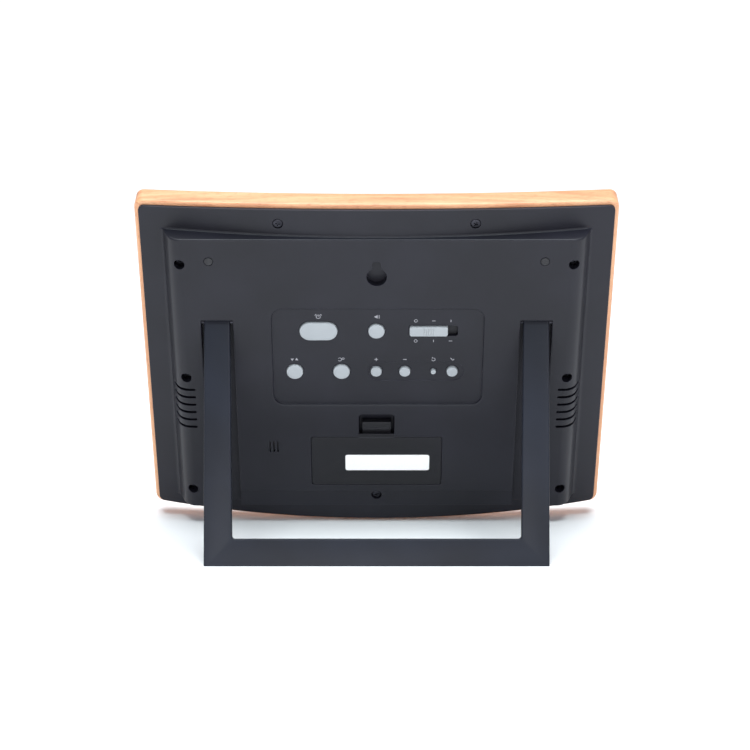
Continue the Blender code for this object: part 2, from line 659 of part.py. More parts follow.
def panel_openings():
    """Cutters for the control panel's recess, its button holes and its switch slot."""
    outline = rectangle(PANEL_LEFT, PANEL_RIGHT, PANEL_BOTTOM, PANEL_TOP, PANEL_CORNER)
    made = [prism("panel_recess", outline, PANEL_FLOOR, OUTSIDE, "y")]
    low = LOWER_ROW - SMALL_ROW_HEIGHT / 2
    high = LOWER_ROW + SMALL_ROW_HEIGHT / 2
    radius = SMALL_ROW_HEIGHT / 2 - CLEARANCE
    outline = rectangle(SMALL_ROW_LEFT, SMALL_ROW_RIGHT, low, high, radius)
    made.append(prism("small_row_recess", outline, PANEL_FLOOR - SMALL_ROW_DEPTH, 0, "y"))
    for name, (x, z, radius) in ROUND_BUTTONS.items():
        made.append(bore(f"{name}_hole", radius + CLEARANCE, OUTSIDE, PANEL_INNER - OUTSIDE, x, z))
    x, z = ALARM_BUTTON_AT
    wide = ALARM_BUTTON_SIZE[0] / 2 + CLEARANCE
    tall = ALARM_BUTTON_SIZE[1] / 2 + CLEARANCE
    outline = rectangle(x - wide, x + wide, z - tall, z + tall, tall - CLEARANCE)
    made.append(prism("alarm_button_hole", outline, PANEL_INNER - OUTSIDE, OUTSIDE, "y"))
    right = KNOB_START + KNOB_LENGTH / 2 + CLEARANCE
    left = KNOB_START - KNOB_LENGTH / 2 - KNOB_TRAVEL - CLEARANCE
    tall = KNOB_HEIGHT / 2 + CLEARANCE
    outline = rectangle(left, right, UPPER_ROW - tall, UPPER_ROW + tall, tall / 2)
    made.append(prism("switch_slot", outline, PANEL_INNER - OUTSIDE, OUTSIDE, "y"))
    return made


def bay_openings():
    """Cutters for the battery bay, the door's seat, the latch pocket and the tongue slots."""
    half = DOOR_WIDTH / 2 + CLEARANCE
    seat = -DOOR_THICKNESS - CLEARANCE
    outline = rectangle(-half, half, DOOR_BOTTOM - CLEARANCE, DOOR_TOP + CLEARANCE, DOOR_CORNER)
    made = [prism("door_seat", outline, seat, OUTSIDE, "y")]
    half = BAY_LENGTH / 2
    tall = BAY_HEIGHT / 2
    span = (BAY_CENTRE - tall, BAY_CENTRE + tall)
    made.append(block("bay_hollow", (-half, half), (BAY_FLOOR, OUTSIDE), span))
    half = POCKET_HALF_WIDTH
    low = DOOR_TOP - DOOR_EDGE_LEDGE / 2
    top = DOOR_TOP + POCKET_REACH
    made.append(block("latch_pocket", (-half, half), (-POCKET_DEPTH, OUTSIDE), (low, top)))
    for side in (-1, 1):
        x = side * TONGUE_SPREAD
        half = TONGUE_WIDTH / 2 + CLEARANCE
        deep = -TONGUE_DEPTH - 2 * TONGUE_REACH
        low = DOOR_BOTTOM - TONGUE_REACH - 3 * CLEARANCE
        span = (low, DOOR_BOTTOM + DOOR_EDGE_LEDGE - BAY_WALL - CLEARANCE)
        made.append(block(f"tongue_slot_{side}", (x - half, x + half), (deep, seat - CLEARANCE), span))
        half += CLEARANCE / 3
        made.append(prism(f"tongue_sweep_{side}", tongue_sweep(), x - half, x + half, "x"))
    return made


def tongue_sweep():
    """The quarter circle that a tongue sweeps inside the cover as the door turns on its lower edge."""
    reach = math.hypot(TONGUE_DEPTH, TONGUE_ROOT - CLEARANCE) + CLEARANCE
    low = DOOR_BOTTOM - CLEARANCE / 2
    points = [(CLEARANCE, low), (CLEARANCE, DOOR_BOTTOM + reach)]
    for i in range(SWEEP_STEPS + 1):
        angle = math.pi / 2 * i / SWEEP_STEPS
        points.append((-reach * math.sin(angle), DOOR_BOTTOM + reach * math.cos(angle)))
    return points + [(-reach, low)]


def small_openings():
    """Cutters for the keyhole, the vents, the sounder's grille, the screws and the bumpers."""
    top = KEYHOLE_HEIGHT + KEYHOLE_SLOT_REACH
    half = KEYHOLE_SLOT_WIDTH / 2
    deep = -KEYHOLE_POCKET_DEPTH
    made = [bore("keyhole_round", KEYHOLE_RADIUS, OUTSIDE, deep, 0, KEYHOLE_HEIGHT, FINE_SIDES)]
    outline = rectangle(-half, half, KEYHOLE_HEIGHT, top, half - CLEARANCE)
    made.append(prism("keyhole_slot", outline, deep, OUTSIDE, "y"))
    half = KEYHOLE_RADIUS + CLEARANCE
    level = (deep + CLEARANCE, -WALL - CLEARANCE)
    made.append(block("keyhole_pocket", (-half, half), level, (KEYHOLE_HEIGHT, top + BAY_WALL)))
    for side in (-1, 1):
        xs = sorted((side * VENT_INNER, side * (BODY_HALF_WIDTH + OUTSIDE)))
        for i in range(VENT_COUNT):
            z = VENT_TOP - i * VENT_PITCH
            span = (z - VENT_WIDTH / 2, z + VENT_WIDTH / 2)
            made.append(block(f"vent_{side}_{i}", xs, (-VENT_DEPTH, OUTSIDE), span))
        x, z = FLANGE_SCREW_AT
        surface = arc_y(x, 0)
        made.append(screw_bore(f"flange_bore_{side}", surface - FLANGE_BORE_DEPTH, side * x, z))
        made.append(screw_hole(f"flange_hole_{side}", side * x, z))
        x, z = BUMPER_AT
        radius = BUMPER_RADIUS + CLEARANCE
        made.append(bore(f"bumper_seat_{side}", radius, OUTSIDE, -BUMPER_SEAT, side * x, z))
    wide, tall = GRILLE_SLOT
    x, z = SOUNDER_AT
    for i in range(GRILLE_COUNT):
        middle = x + (i - (GRILLE_COUNT - 1) / 2) * GRILLE_PITCH
        xs = (middle - wide / 2, middle + wide / 2)
        span = (z - tall / 2, z + tall / 2)
        made.append(block(f"grille_slot_{i}", xs, (-WALL - CLEARANCE, OUTSIDE), span))
    for i, (x, z) in enumerate(side_screw_places()):
        made.append(screw_bore(f"side_bore_{i}", -SIDE_BORE_DEPTH, x, z))
        made.append(screw_hole(f"side_hole_{i}", x, z))
    made.append(screw_bore("bottom_bore", -BOTTOM_BORE_DEPTH, 0, BOTTOM_SCREW_HEIGHT))
    made.append(screw_hole("bottom_hole", 0, BOTTOM_SCREW_HEIGHT))
    return made


def screw_bore(name, floor, x, z):
    return bore(name, SCREW_HEAD_RADIUS + CLEARANCE, OUTSIDE, floor, x, z)


def screw_hole(name, x, z):
    return bore(name, SCREW_SHANK_RADIUS + CLEARANCE, 0, TRAY_FRONT, x, z, SMALL_SIDES)


def make_back_cover():
    outline = barrel(FRAME_WIDTH - 2 * RIM, FRAME_HEIGHT - 2 * RIM, PLATE_CORNER)
    cover = bent_sheet("back_cover", outline, 0, PLATE)
    body = body_prism("cover_body", 0)
    for name, edge, way in (("top_ridge", BODY_TOP, 1), ("bottom_ridge", BODY_BOTTOM, -1)):
        reach = RIDGE_BEVEL + OUTSIDE
        out = edge + way * OUTSIDE
        wedge = [(OUTSIDE, edge - way * reach), (OUTSIDE, out), (-reach, out)]
        cut(body, prism(name, wedge, -FRAME_WIDTH, FRAME_WIDTH, "x"))
    join(cover, body)
    cut(cover, body_prism("cover_hollow", WALL))
    blocks = cover_blocks()
    inner = join(blocks[0], *blocks[1:])
    combine(inner, body_prism("cover_envelope", WALL / 2), "INTERSECT")
    join(cover, inner)
    cut(cover, *stand_channels(), *panel_openings(), *bay_openings(), *small_openings())
    finish(cover, "black_abs")


# ---------------------------------------------------------------------------------------------
# Stand
# ---------------------------------------------------------------------------------------------

def stand_lean():
    """How far the panel leans back when frame and stand both touch the ground."""
    foot_y = -PIVOT_DEPTH + STAND_LENGTH * math.sin(STAND_OPEN)
    foot_z = PIVOT_HEIGHT - STAND_LENGTH * math.cos(STAND_OPEN)
    return math.atan2(foot_z + FRAME_HEIGHT / 2, foot_y + BODY_RISE + WOOD_REAR)


def make_stand():
    """The U-shaped stand, made folded around its pivot axis and then turned out."""
    half = STAND_HALF_WIDTH
    crossbar = CROSSBAR_HEIGHT - STAND_LENGTH
    slant = STAND_OPEN - stand_lean()
    low = -STAND_LENGTH - STAND_THICKNESS / 2 * math.tan(slant)
    right = [
        (half, low, STAND_OUTER_CORNER),
        (half, ARM_TOP, 0),
        (half - ARM_WIDTH_TOP, ARM_TOP, 0),
        (half - ARM_WIDTH_BOTTOM, crossbar, STAND_INNER_CORNER),
    ]
    left = [(-x, z, radius) for x, z, radius in reversed(right)]
    stand = prism("stand", rounded_path(right + left), -STAND_THICKNESS / 2, STAND_THICKNESS / 2, "y")
    pivot = Vector((0, -PIVOT_DEPTH, PIVOT_HEIGHT))
    stand.location = pivot
    stand.rotation_euler = (STAND_OPEN, 0, 0)
    hole = rod("stand_pin_hole", PIN_RADIUS + CLEARANCE, 2 * half + OUTSIDE, pivot, "x", SMALL_SIDES)
    ground = block("stand_ground", (-half - OUTSIDE, half + OUTSIDE), (-half, half), (-half, half))
    foot = pivot + Matrix.Rotation(STAND_OPEN, 3, "X") @ Vector((0, 0, -STAND_LENGTH))
    ground.location = foot + Matrix.Rotation(stand_lean(), 3, "X") @ Vector((0, 0, -half))
    ground.rotation_euler = (stand_lean(), 0, 0)
    cut(stand, hole, ground)
    finish(stand, "black_abs")
    length = CHANNEL_OUTER - CHANNEL_INNER + 2 * WALL - 2 * CLEARANCE
    for side, name in ((1, "stand_pin_left"), (-1, "stand_pin_right")):
        middle = (side * (CHANNEL_OUTER + CHANNEL_INNER) / 2, -PIVOT_DEPTH, PIVOT_HEIGHT)
        finish(rod(name, PIN_RADIUS, length, middle, "x", SMALL_SIDES), "steel")


# ---------------------------------------------------------------------------------------------
# Controls
# ---------------------------------------------------------------------------------------------

def hang_on_axis(thing, x, y, z):
    """Move a solid's origin to a place on its joint's axis, and leave its shape where it is."""
    axis = Vector((x, y, z))
    thing.data.transform(Matrix.Translation(thing.location - axis))
    thing.location = axis
    return thing


def make_buttons():
    top = PANEL_FLOOR + BUTTON_HEIGHT
    flange_rear = PANEL_INNER - CLEARANCE
    flange_front = flange_rear - BUTTON_FLANGE
    stem = SWITCH_TOP + BUTTON_TRAVEL + CLEARANCE / 3
    for name, (x, z, radius) in ROUND_BUTTONS.items():
        dome = min(BUTTON_DOME, radius * DOME_SHARE)
        profile = [
            (0, top),
            (radius - dome, top),
            (radius, top - dome),
            (radius, flange_rear),
            (radius + BUTTON_FLANGE, flange_rear),
            (radius + BUTTON_FLANGE, flange_front),
            (PLUNGER_RADIUS, flange_front),
            (PLUNGER_RADIUS, stem),
            (0, stem),
        ]
        finish(turned(name, profile, (x, 0, z), BUTTON_SIDES), "grey_abs")
    x, z = ALARM_BUTTON_AT
    wide = ALARM_BUTTON_SIZE[0] / 2
    tall = ALARM_BUTTON_SIZE[1] / 2
    outline = rectangle(x - wide, x + wide, z - tall, z + tall, tall - CLEARANCE)
    button = prism("alarm_button", outline, flange_rear - BUTTON_FLANGE / 2, top, "y")
    hang_on_axis(button, x, 0, z)
    wide += BUTTON_FLANGE
    tall += BUTTON_FLANGE
    outline = rectangle(x - wide, x + wide, z - tall, z + tall, tall - CLEARANCE)
    flange = prism("alarm_flange", outline, flange_front, flange_rear, "y")
    rear = flange_rear - BUTTON_FLANGE / 2
    join(button, flange, bore("alarm_stem", PLUNGER_RADIUS, rear, stem, x, z, SMALL_SIDES))
    finish(button, "grey_abs")


def make_slide_switch():
    top = PANEL_FLOOR + BUTTON_HEIGHT
    skirt_rear = PANEL_INNER - CLEARANCE
    skirt_front = skirt_rear - BUTTON_FLANGE
    half = KNOB_LENGTH / 2
    tall = KNOB_HEIGHT / 2
    low, high = UPPER_ROW - tall, UPPER_ROW + tall
    outline = rectangle(KNOB_START - half, KNOB_START + half, low, high, tall / 2)
    knob = prism("slide_switch_knob", outline, skirt_rear - BUTTON_FLANGE / 2, top, "y")
    hang_on_axis(knob, KNOB_START, 0, UPPER_ROW)
    half += KNOB_SKIRT
    tall += BUTTON_FLANGE
    xs = (KNOB_START - half, KNOB_START + half)
    span = (UPPER_ROW - tall, UPPER_ROW + tall)
    skirt = block("knob_skirt", xs, (skirt_front, skirt_rear), span)
    lever = PLUNGER_RADIUS
    bottom = BOARD_REAR + SLIDE_BODY_FLOOR + 2 * CLEARANCE
    xs = (KNOB_START - lever, KNOB_START + lever)
    span = (UPPER_ROW - lever, UPPER_ROW + lever)
    join(knob, skirt, block("knob_lever", xs, (bottom, skirt_rear - BUTTON_FLANGE / 2), span))
    finish(knob, "grey_abs")
    middle = KNOB_START - KNOB_TRAVEL / 2
    half = SLIDE_BODY_LENGTH / 2
    tall = SWITCH_BODY / 2
    level = (BOARD_REAR + CLEARANCE, skirt_front - CLEARANCE)
    span = (UPPER_ROW - tall, UPPER_ROW + tall)
    body = block("slide_switch_body", (middle - half, middle + half), level, span)
    half = KNOB_TRAVEL / 2 + lever + CLEARANCE
    tall = lever + CLEARANCE
    level = (BOARD_REAR + CLEARANCE + SLIDE_BODY_FLOOR, 0)
    span = (UPPER_ROW - tall, UPPER_ROW + tall)
    cut(body, block("lever_groove", (middle - half, middle + half), level, span))
    finish(body, "steel")


def make_tact_switches():
    half = SWITCH_BODY / 2
    rear = BOARD_REAR + CLEARANCE + SWITCH_HEIGHT
    for name, (x, z) in all_buttons().items():
        spans = (x - half, x + half), (BOARD_REAR + CLEARANCE, rear), (z - half, z + half)
        body = block(name.replace("_button", "_tact_switch"), *spans)
        plunger = bore(f"{name}_plunger", PLUNGER_RADIUS, SWITCH_TOP, rear - CLEARANCE, x, z, SMALL_SIDES)
        finish(join(body, plunger), "steel")


# ---------------------------------------------------------------------------------------------
# Battery door, label, cells and contacts
# ---------------------------------------------------------------------------------------------

def make_battery_door():
    """The door, with a finger latch at its top edge and two tongues under its bottom edge."""
    half = DOOR_WIDTH / 2
    outline = rectangle(-half, half, DOOR_BOTTOM, DOOR_TOP, DOOR_CORNER)
    door = prism("battery_door", outline, -DOOR_THICKNESS, 0, "y")
    hang_on_axis(door, 0, 0, DOOR_BOTTOM)
    half = POCKET_HALF_WIDTH - CLEARANCE
    span = (DOOR_TOP - LATCH_WEB, DOOR_TOP + 2 * LATCH_WEB)
    neck = block("door_neck", (-half, half), (-DOOR_THICKNESS, -CLEARANCE), span)
    half = LATCH_WIDTH / 2
    leaf = LATCH_DEPTH - LATCH_LEAF
    drop = (-LATCH_DEPTH, -CLEARANCE * 2)
    riser = block("latch_riser", (-half, half), drop, (DOOR_TOP + LATCH_WEB / 2, DOOR_TOP + 1.5 * LATCH_WEB))
    xs = (-half + CLEARANCE, half - CLEARANCE)
    span = (DOOR_TOP + LATCH_WEB, DOOR_TOP + LATCH_REACH - CLEARANCE)
    spring = block("latch_leaf", xs, (-LATCH_DEPTH + CLEARANCE, -leaf), span)
    span = (DOOR_TOP + LATCH_REACH - LATCH_TAB_HEIGHT, DOOR_TOP + LATCH_REACH)
    tab = block("latch_tab", (-half, half), drop, span, CLEARANCE)
    join(door, neck, riser, spring, tab)
    for side in (-1, 1):
        low = side * TONGUE_SPREAD - TONGUE_WIDTH / 2
        high = side * TONGUE_SPREAD + TONGUE_WIDTH / 2
        span = (DOOR_BOTTOM + CLEARANCE, DOOR_BOTTOM + TONGUE_ROOT)
        level = (-TONGUE_DEPTH + CLEARANCE, -DOOR_THICKNESS / 2)
        root = block(f"tongue_root_{side}", (low, high), level, span)
        level = (-TONGUE_DEPTH, -WALL - CLEARANCE)
        span = (DOOR_BOTTOM - TONGUE_REACH, DOOR_BOTTOM + TONGUE_ROOT - CLEARANCE)
        join(door, root, block(f"tongue_{side}", (low + CLEARANCE, high - CLEARANCE), level, span))
    x, offset = LABEL_OFFSET
    z = BAY_CENTRE + offset
    wide = LABEL_SIZE[0] / 2
    tall = LABEL_SIZE[1] / 2
    outline = rectangle(x - wide, x + wide, z - tall, z + tall, DOOR_CORNER - CLEARANCE)
    finish(prism("rating_label", outline, -LABEL_THICKNESS, 0, "y"), "paper")
    wide += CLEARANCE
    tall += CLEARANCE
    outline = rectangle(x - wide, x + wide, z - tall, z + tall, DOOR_CORNER)
    cut(door, prism("label_seat", outline, -LABEL_THICKNESS - CLEARANCE, OUTSIDE, "y"))
    finish(door, "black_abs")


def make_cells():
    """Two cells head to tail, each between a spring and a contact plate."""
    offset = CELL_RADIUS + CELL_GAP / 2
    end = BAY_LENGTH / 2 - CONTACT_THICKNESS - 2 * CLEARANCE
    for i, way in ((1, 1), (2, -1)):
        z = BAY_CENTRE + way * offset
        tip = way * end
        shell = CELL_LENGTH - CELL_NUB
        middle = (tip - way * (CELL_NUB + shell / 2), CELL_AXIS, z)
        cell = rod(f"battery_cell_{i}", CELL_RADIUS, shell, middle, "x", CELL_SIDES)
        middle = (tip - way * CELL_NUB, CELL_AXIS, z)
        nub = rod(f"cell_nub_{i}", CELL_NUB_RADIUS, 2 * CELL_NUB, middle, "x", SMALL_SIDES)
        finish(join(cell, nub), "cell_sleeve")
        start = tip - way * (CELL_LENGTH + CLEARANCE + SPRING_WIRE)
        make_spring(f"battery_spring_{i}", start, -way * (end + CLEARANCE - SPRING_WIRE), z)
    half = CONTACT_HEIGHT / 2
    for side, name in ((1, "battery_contact_left"), (-1, "battery_contact_right")):
        low, high = sorted((side * (BAY_LENGTH / 2 - CLEARANCE), side * (end + CLEARANCE)))
        level = (CELL_AXIS - CONTACT_WIDTH / 2, CELL_AXIS + CONTACT_WIDTH / 2)
        finish(block(name, (low, high), level, (BAY_CENTRE - half, BAY_CENTRE + half)), "steel")


def make_spring(name, start, end, z):
    """A cone-shaped coil along X, narrow at the cell and wide at the contact plate."""
    curve = bpy.data.curves.new(name, "CURVE")
    curve.dimensions = "3D"
    curve.bevel_depth = SPRING_WIRE
    curve.bevel_resolution = 2
    curve.use_fill_caps = True
    count = SPRING_TURNS * SPRING_SIDES + 1
    spline = curve.splines.new("POLY")
    spline.points.add(count - 1)
    for i, spot in enumerate(spline.points):
        part = i / (count - 1)
        radius = SPRING_NARROW + (SPRING_WIDE - SPRING_NARROW) * part
        angle = 2 * math.pi * i / SPRING_SIDES
        spot.co = (start + (end - start) * part, radius * math.cos(angle), radius * math.sin(angle), 1)
    finish(place(bpy.data.objects.new(name, curve), (0, CELL_AXIS, z)), "steel")


# ---------------------------------------------------------------------------------------------
# Display and electronics
# ---------------------------------------------------------------------------------------------

def make_display():
    half = OPENING_HALF_WIDTH - CLEARANCE
    tall = OPENING_HALF_HEIGHT - CLEARANCE
    outline = rectangle(-half, half, -tall, tall)
    finish(bent_sheet("display_window", outline, WINDOW_REAR, WINDOW_FRONT), "acrylic")
    mask = bent_sheet("display_mask", outline, MASK_REAR, MASK_FRONT)
    inner = LCD_HALF_WIDTH - MASK_LAP
    far = arc_y(half, MASK_FRONT) - OUTSIDE
    span = (LCD_BOTTOM + MASK_LAP, LCD_TOP - MASK_LAP)
    cut(mask, block("mask_window", (-inner, inner), (far, 0), span))
    finish(mask, "black_ink")
    half = LCD_HALF_WIDTH
    panel_glass = block("lcd_panel", (-half, half), (LCD_FRONT, LCD_REAR), (LCD_BOTTOM, LCD_TOP))
    finish(panel_glass, "liquid_crystal_glass")
    half = STRIP_HALF_LENGTH
    span = (STRIP_HEIGHT - STRIP_WIDTH / 2, STRIP_HEIGHT + STRIP_WIDTH / 2)
    strip = block("elastomer_connector", (-half, half), (LCD_REAR + CLEARANCE, BOARD_FRONT - CLEARANCE), span)
    finish(strip, "rubber")


def make_tray():
    """The tray that holds the display from behind and takes the cover's screws."""
    half = OPENING_HALF_WIDTH - TRAY_MARGIN
    low = -OPENING_HALF_HEIGHT + TRAY_GAP
    high = BODY_TOP - WALL - TRAY_GAP
    wide = BAY_LENGTH / 2 + BAY_WALL + 2 * CLEARANCE
    tall = BAY_HEIGHT / 2 + BAY_WALL + 2 * CLEARANCE
    bay = rectangle(-wide, wide, BAY_CENTRE - tall, BAY_CENTRE + tall)
    wide = STRIP_HALF_LENGTH + CLEARANCE
    tall = STRIP_WIDTH / 2 + CLEARANCE
    slot = rectangle(-wide, wide, STRIP_HEIGHT - tall, STRIP_HEIGHT + tall)
    outline = rectangle(-half, half, low, high, TRAY_CORNER)
    tray = prism("display_tray", outline, TRAY_FRONT, TRAY_REAR, "y", holes=[bay, slot])
    inner = rectangle(*lcd_sides(CLEARANCE))
    outer = rectangle(*lcd_sides(CLEARANCE + TRAY_RIM))
    inside = TRAY_REAR - TRAY_OVERLAP
    rim = prism("tray_rim", outer, LCD_FRONT, inside, "y", [inner])
    join(tray, rim)
    pilot = SCREW_SHANK_RADIUS + CLEARANCE
    front = -SIDE_BORE_DEPTH - SIDE_SCREW_LENGTH
    for i, (x, z) in enumerate(side_screw_places()):
        join(tray, bore(f"tray_post_{i}", POST_RADIUS, inside, front, x, z))
        cut(tray, bore(f"tray_pilot_{i}", pilot, 0, front - OUTSIDE, x, z, SMALL_SIDES))
    join(tray, bore("bottom_post", POST_RADIUS, inside, LCD_FRONT, 0, BOTTOM_SCREW_HEIGHT))
    front = LCD_FRONT - OUTSIDE
    cut(tray, bore("bottom_pilot", pilot, 0, front, 0, BOTTOM_SCREW_HEIGHT, SMALL_SIDES))
    finish(tray, "black_abs")


def lcd_sides(margin):
    """Left, right, bottom and top of an outline round the liquid-crystal panel."""
    half = LCD_HALF_WIDTH + margin
    return (-half, half, LCD_BOTTOM - margin, LCD_TOP + margin)


def make_electronics():
    half = MAIN_BOARD_HALF_WIDTH
    level = (BOARD_FRONT, BOARD_REAR)
    board = block("main_board", (-half, half), level, (MAIN_BOARD_BOTTOM, MAIN_BOARD_TOP))
    finish(board, "circuit_board")
    margin = CONTROL_BOARD_MARGIN
    span = (PANEL_BOTTOM + margin, CONTROL_BOARD_TOP)
    board = block("control_board", (PANEL_LEFT + margin, PANEL_RIGHT - margin), level, span)
    finish(board, "circuit_board")
    x, z = CHIP_AT
    wide, long, tall = CHIP_SIZE
    base = BOARD_REAR + CLEARANCE
    spans = (x - wide / 2, x + wide / 2), (base, base + tall), (z - long / 2, z + long / 2)
    finish(block("controller_chip", *spans), "chip_epoxy")
    x, z = CRYSTAL_AT
    middle = (x, base + CRYSTAL_RADIUS, z)
    finish(rod("quartz_crystal", CRYSTAL_RADIUS, CRYSTAL_LENGTH, middle, "x", SMALL_SIDES), "steel")
    bead = rod("thermistor", THERMISTOR_RADIUS, THERMISTOR_LENGTH, THERMISTOR_AT, "x", SMALL_SIDES)
    finish(bead, "chip_epoxy")
    x, z = SOUNDER_AT
    rear = -WALL - CLEARANCE
    sounder = bore("piezo_sounder", SOUNDER_RADIUS, rear, rear - SOUNDER_HEIGHT, x, z, FINE_SIDES)
    finish(sounder, "chip_epoxy")
    low = base
    high = base + RIBBON_ARCH
    start = CONTROL_BOARD_TOP - RIBBON_LAP
    end = MAIN_BOARD_BOTTOM + RIBBON_LAP
    path = [
        (low, start),
        (low, CONTROL_BOARD_TOP + CLEARANCE),
        (high, CONTROL_BOARD_TOP + RIBBON_LAP),
        (high, MAIN_BOARD_BOTTOM - RIBBON_LAP),
        (low, MAIN_BOARD_BOTTOM - CLEARANCE),
        (low, end),
    ]
    outline = path + [(y + RIBBON_THICKNESS, z) for y, z in reversed(path)]
    half = RIBBON_WIDTH / 2
    finish(prism("ribbon_cable", outline, RIBBON_X - half, RIBBON_X + half, "x"), "film")


# ---------------------------------------------------------------------------------------------
# Screws and bumpers
# ---------------------------------------------------------------------------------------------

def make_screw(name, x, z, seat, length, head_height):
    """A cross-headed screw whose head rests a clearance above its seat."""
    base = seat + CLEARANCE
    top = base + head_height
    head = SCREW_HEAD_RADIUS
    shank = SCREW_SHANK_RADIUS
    profile = [
        (0, top),
        (head * CROWN_RADIUS, top - head_height * CROWN_DROP),
        (head, top - head_height * EDGE_DROP),
        (head, base),
        (shank, base),
        (shank, seat - length + 2 * shank),
        (0, seat - length),
    ]
    screw = turned(name, profile, (x, 0, z), SCREW_SIDES)
    arm = head * CROSS_REACH
    thin = CROSS_WIDTH / 2
    level = (top - CROSS_DEPTH, top + OUTSIDE)
    upright = block(f"{name}_upright", (x - thin, x + thin), level, (z - arm, z + arm))
    crossways = block(f"{name}_crossways", (x - arm, x + arm), level, (z - thin, z + thin))
    finish(cut(screw, upright, crossways), "black_steel")


def make_screws():
    x, z = FLANGE_SCREW_AT
    seat = arc_y(x, 0) - FLANGE_BORE_DEPTH
    for side, name in ((1, "flange_screw_left"), (-1, "flange_screw_right")):
        make_screw(name, side * x, z, seat, FLANGE_SCREW_LENGTH, FLANGE_HEAD_HEIGHT)
    for i, (x, z) in enumerate(side_screw_places(), 1):
        make_screw(f"side_screw_{i}", x, z, -SIDE_BORE_DEPTH, SIDE_SCREW_LENGTH, HEAD_HEIGHT)
    make_screw("bottom_screw", 0, BOTTOM_SCREW_HEIGHT, -BOTTOM_BORE_DEPTH, BOTTOM_SCREW_LENGTH, HEAD_HEIGHT)


def make_bumpers():
    x, z = BUMPER_AT
    front = -BUMPER_SEAT + CLEARANCE
    for side, name in ((1, "wall_bumper_left"), (-1, "wall_bumper_right")):
        finish(bore(name, BUMPER_RADIUS, BUMPER_PROUD, front, side * x, z), "rubber")


# ---------------------------------------------------------------------------------------------
# The whole clock
# ---------------------------------------------------------------------------------------------

def stand_on_ground():
    """Lean the clock back, and put the bottom centre of its box at the world's origin."""
    panel.rotation_euler = (-stand_lean(), 0, 0)
    bpy.context.view_layer.update()
    graph = bpy.context.evaluated_depsgraph_get()
    corners = []
    for thing in parts.objects:
        solid = thing.evaluated_get(graph)
        mesh = solid.to_mesh()
        corners.extend(solid.matrix_world @ vertex.co for vertex in mesh.vertices)
        solid.to_mesh_clear()
    ys = [corner.y for corner in corners]
    panel.location = (0, -(min(ys) + max(ys)) / 2, -min(corner.z for corner in corners))


for old in list(bpy.data.objects):
    bpy.data.objects.remove(old, do_unlink=True)
parts = bpy.data.collections.new("desk_clock")
cutters = bpy.data.collections.new("cutters")
bpy.context.scene.collection.children.link(parts)
bpy.context.scene.collection.children.link(cutters)
panel = bpy.data.objects.new("panel", None)
bpy.context.scene.collection.objects.link(panel)

make_frame()
make_back_cover()
make_stand()
make_buttons()
make_slide_switch()
make_tact_switches()
make_battery_door()
make_cells()
make_display()
make_tray()
make_electronics()
make_screws()
make_bumpers()
stand_on_ground()
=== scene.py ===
# %% [markdown]
# # A desk clock in a bent wooden frame
# This lesson dresses a finished mechanical model. The mechanical pieces arrive as a fixed frame of
# reference, and each step rebuilds one visible piece with finer shapes, or gives it its finish.

# %% Load the mechanical model
import json
import math

import bmesh
import bpy
from mathutils import Matrix, Vector


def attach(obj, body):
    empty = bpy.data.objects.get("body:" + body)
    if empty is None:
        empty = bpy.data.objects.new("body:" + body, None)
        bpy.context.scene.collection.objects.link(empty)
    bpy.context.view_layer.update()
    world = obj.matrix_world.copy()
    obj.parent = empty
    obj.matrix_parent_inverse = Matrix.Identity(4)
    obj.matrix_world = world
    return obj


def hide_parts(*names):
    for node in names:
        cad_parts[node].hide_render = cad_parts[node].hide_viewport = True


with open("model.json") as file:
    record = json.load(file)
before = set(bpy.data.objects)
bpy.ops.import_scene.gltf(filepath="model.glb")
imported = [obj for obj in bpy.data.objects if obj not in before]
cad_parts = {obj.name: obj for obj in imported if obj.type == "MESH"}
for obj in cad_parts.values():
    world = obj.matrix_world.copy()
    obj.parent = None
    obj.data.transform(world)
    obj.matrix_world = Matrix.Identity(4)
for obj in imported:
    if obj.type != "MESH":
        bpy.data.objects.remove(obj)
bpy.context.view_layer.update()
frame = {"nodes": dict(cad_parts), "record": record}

print("pieces in the mechanical model:", len(frame["nodes"]))

# %% [markdown]
# ## One slanted drawing board
# The whole clock leans back. Everything is easier to draw flat, so each piece is drawn in
# millimetres on a board: X runs across, Y points out of the back, Z runs up the back, and Y = 0 is
# the flat rear face. The mechanical record says where that face is and which way it looks, and
# that gives the matrix that carries a drawn mesh to its place.

# %% The drawing board
MM = 0.001
QUARTER = math.pi / 2
REAR_FACE = next(m for m in frame["record"]["mounts"] if m["name"] == "rear_face")
FACE_SPOT = Vector((30, 0, 60.1))
OUTWARD = Vector(REAR_FACE["axis"]).normalized()
UPWARD = Vector((1, 0, 0)).cross(OUTWARD)
TURN = Matrix((Vector((1, 0, 0)), OUTWARD, UPWARD)).transposed()
ORIGIN = Vector(REAR_FACE["pos_m"]) - TURN @ FACE_SPOT * MM
BOARD = Matrix.Translation(ORIGIN) @ TURN.to_4x4() @ Matrix.Scale(MM, 4)
LEAN = math.atan2(-OUTWARD.z, OUTWARD.y)
print(f"the clock leans back {math.degrees(LEAN):.1f} degrees")

# %% [markdown]
# ## Meshes from lists of points
# Most pieces here are stacks of rings: a rounded rectangle at one level, the next one a little
# smaller or higher, and so on, skinned into a closed solid. The same idea makes a button, a door
# or a tool that cuts a pocket. A tool's rings flare outward at the rim, so that the cut edge comes
# out rounded, as a moulded edge is.

# %% Mesh helpers
OVER = 3.0
WELD = 0.001
TINY = 0.02


